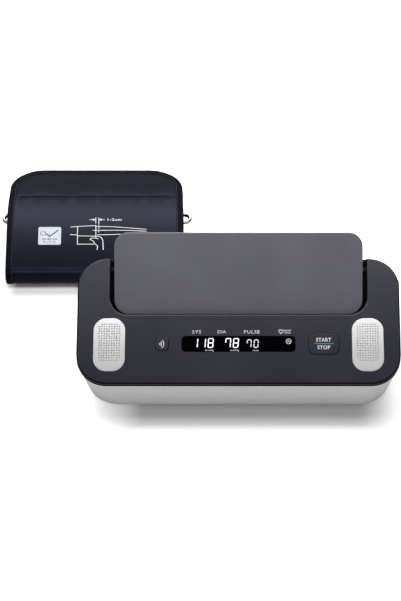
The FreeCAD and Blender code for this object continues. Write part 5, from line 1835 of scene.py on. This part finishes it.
@dataclass
class Studio:
    """Pale floor, soft lamps, white surroundings and the camera."""

    camera_at: Triple = (0.03843955, -0.95312, 0.9400)
    camera_tilt: float = 45.0
    camera_shift: float = -38.0 / 601.0
    camera_clip: Pair = (0.05, 50.0)
    lens_mm: float = 100.0
    sensor_mm: float = 36.0
    floor_half: float = 6.0
    floor_colour: str = "#e6e6e6"
    ambient: float = 0.20
    backdrop: Pair = (0.56, 0.76)  # over this share of the way to the rear glossy faces meet white
    horizon: Pair = (0.74, 0.88)  # and over this it grows dimmer
    horizon_level: float = 0.3
    plans: tuple[ShadowPlan, ShadowPlan] = (
        ShadowPlan("monitor", (0.0480, -0.0940), (0.0815, 0.0485), (0.056, 0.021), 0.05),
        ShadowPlan("cuff", (-0.0816, 0.0580), (0.0580, 0.0620), (0.016, 0.016), 0.0))
    lamps: tuple[Softbox, ...] = (
        Softbox("overhead_softbox", (0.7, 0.18), 2.0, (0.04, -0.01, 0.44), (0.04, -0.04, 0.05)),
        Softbox("rear_softbox", (1.0, 0.3), 7.5, (-0.1, 0.95, 0.82), (-0.05, 0.05, 0.02)),
        Softbox("front_fill", (0.9, 0.6), 2.2, (0.0, -1.3, 0.45), (0.0, 0.0, 0.03)))

    def seen_white(self, tree: bpy.types.NodeTree) -> tuple[bpy.types.Node, bpy.types.NodeSocket]:
        """Tells the rays that have to meet white: the camera's own and those through clear matter.

        Args:
            tree: a node tree.
        Returns:
            The light path and a number that is 1 for such rays.
        """
        path = add_node(tree, "LightPath")
        seen = add_node(tree, "Math", {0: path.outputs["Is Camera Ray"],
                                       1: path.outputs["Is Transmission Ray"]}, operation="MAXIMUM")
        return path, seen.outputs["Value"]

    def glow_left(self, tree: bpy.types.NodeTree, plan: ShadowPlan,
                  share: bpy.types.NodeSocket) -> bpy.types.NodeSocket:
        """Holds the floor's glow back about one shadow plan.

        The way past the oblong, as a share of the reach in x and in y, makes a vector; its
        length from 0 to 1 leads from the least to the full glow.

        Args:
            tree: the floor's node tree.
            plan: the oblong.
            share: the glow without this plan.
        Returns:
            The lesser of that and what the plan leaves.
        """
        nothing = (0.0, 0.0, 0.0)
        # names a body, so this area of held-back glow moves with it; the link breaks if that body is
        # removed; names a body, which an export would remove: it lasts only because the floor is
        # stage
        away = add_node(tree, "TexCoord", object=frame["bodies"][plan.body]).outputs["Object"]
        for operation, vector in (("SUBTRACT", (*plan.place, 0.0)), ("ABSOLUTE", nothing),
                                  ("SUBTRACT", (*plan.half, 0.0)), ("MAXIMUM", nothing),
                                  ("DIVIDE", (*plan.reach, plan.reach[1]))):
            away = add_node(tree, "VectorMath", {0: away, 1: vector}, operation=operation).outputs["Vector"]
        past = add_node(tree, "VectorMath", {0: away}, operation="LENGTH").outputs["Value"]
        left = add_node(tree, "MapRange", {"Value": past, "To Min": plan.least, "To Max": 1.0})
        return add_node(tree, "Math", {0: share, 1: left.outputs["Result"]},
                        operation="MINIMUM").outputs["Value"]

    def floor(self) -> None:
        """Lays a matt floor that looks white and keeps the object's shadow."""
        half = self.floor_half
        mesh = bpy.data.meshes.new("floor")
        mesh.from_pydata([(-half, -half, 0), (half, -half, 0), (half, half, 0), (-half, half, 0)], [],
                         [(0, 1, 2, 3)])
        material = bpy.data.materials.new("matt_white_floor")
        material.use_nodes = True
        tree = material.node_tree
        tree.nodes.clear()
        paint = add_node(tree, "BsdfDiffuse", {"Color": linear(self.floor_colour), "Roughness": 0.5})
        _, glow_share = self.seen_white(tree)
        for plan in self.plans:
            glow_share = self.glow_left(tree, plan, glow_share)
        glow = add_node(tree, "Emission", {"Strength": glow_share})
        both = add_node(tree, "AddShader", {0: paint.outputs[0], 1: glow.outputs[0]})
        add_node(tree, "OutputMaterial", {"Surface": both.outputs[0]})
        mesh.materials.append(material)
        floor = bpy.data.objects.new("floor", mesh)
        bpy.context.scene.collection.objects.link(floor)

    def surroundings(self) -> None:
        """Even light from all sides, seen as white."""
        world = bpy.data.worlds.new("white_studio")
        world.use_nodes = True
        tree = world.node_tree
        tree.nodes.clear()
        path, seen = self.seen_white(tree)
        way = add_node(tree, "SeparateXYZ", {0: add_node(tree, "TexCoord").outputs["Generated"]})
        mirrored = path.outputs["Is Glossy Ray"]
        for (near, far), *levels in ((self.backdrop, 0.0, 1.0), (self.horizon, 1.0, self.horizon_level)):
            level = add_node(tree, "MapRange", {"Value": way.outputs["Y"], "From Min": near,
                                                "From Max": far, "To Min": levels[0], "To Max": levels[1]},
                             interpolation_type="SMOOTHSTEP")
            mirrored = add_node(tree, "Math", {0: mirrored, 1: level.outputs["Result"]},
                                operation="MULTIPLY").outputs["Value"]
        white = add_node(tree, "Math", {0: seen, 1: mirrored}, operation="MAXIMUM")
        strength = add_node(tree, "MapRange", {"Value": white.outputs["Value"], "To Min": self.ambient,
                                               "To Max": 1.0})
        background = add_node(tree, "Background", {"Color": (1.0, 1.0, 1.0, 1.0),
                                                   "Strength": strength.outputs["Result"]})
        add_node(tree, "OutputWorld", {"Surface": background.outputs[0]})
        bpy.context.scene.world = world

    def camera(self) -> None:
        """Sets up the camera."""
        data = bpy.data.cameras.new("camera")
        data.lens, data.sensor_width, data.shift_x = self.lens_mm, self.sensor_mm, self.camera_shift
        data.clip_start, data.clip_end = self.camera_clip
        camera = bpy.data.objects.new("camera", data)
        bpy.context.scene.collection.objects.link(camera)
        camera.location = self.camera_at
        camera.rotation_euler = (math.radians(self.camera_tilt), 0.0, 0.0)
        bpy.context.scene.camera = camera

    def dress(self) -> None:
        """Builds the whole studio."""
        self.camera()
        self.floor()
        self.surroundings()
        for lamp in self.lamps:
            lamp.hang()
        bpy.context.scene.view_settings.view_transform = "Standard"
        log.info("studio ready")


def main() -> None:
    """Builds every sub-assembly in order."""
    logging.basicConfig(level=logging.INFO, format="%(name)s: %(message)s")
    sheet = CuffSheet()
    label = range_label(sheet)
    for assembly in (Studio(), CarriedNodes(frame["nodes"]), *(ThumbElectrode(side) for side in Side),
                     Display(), Legends(), Trim(), sheet, InnerSection(sheet), RingLoop(), WireRing(),
                     label, hook_square(), CuffPrints(sheet, label)):
        assembly.dress()


if __name__ == "__main__":
    main()
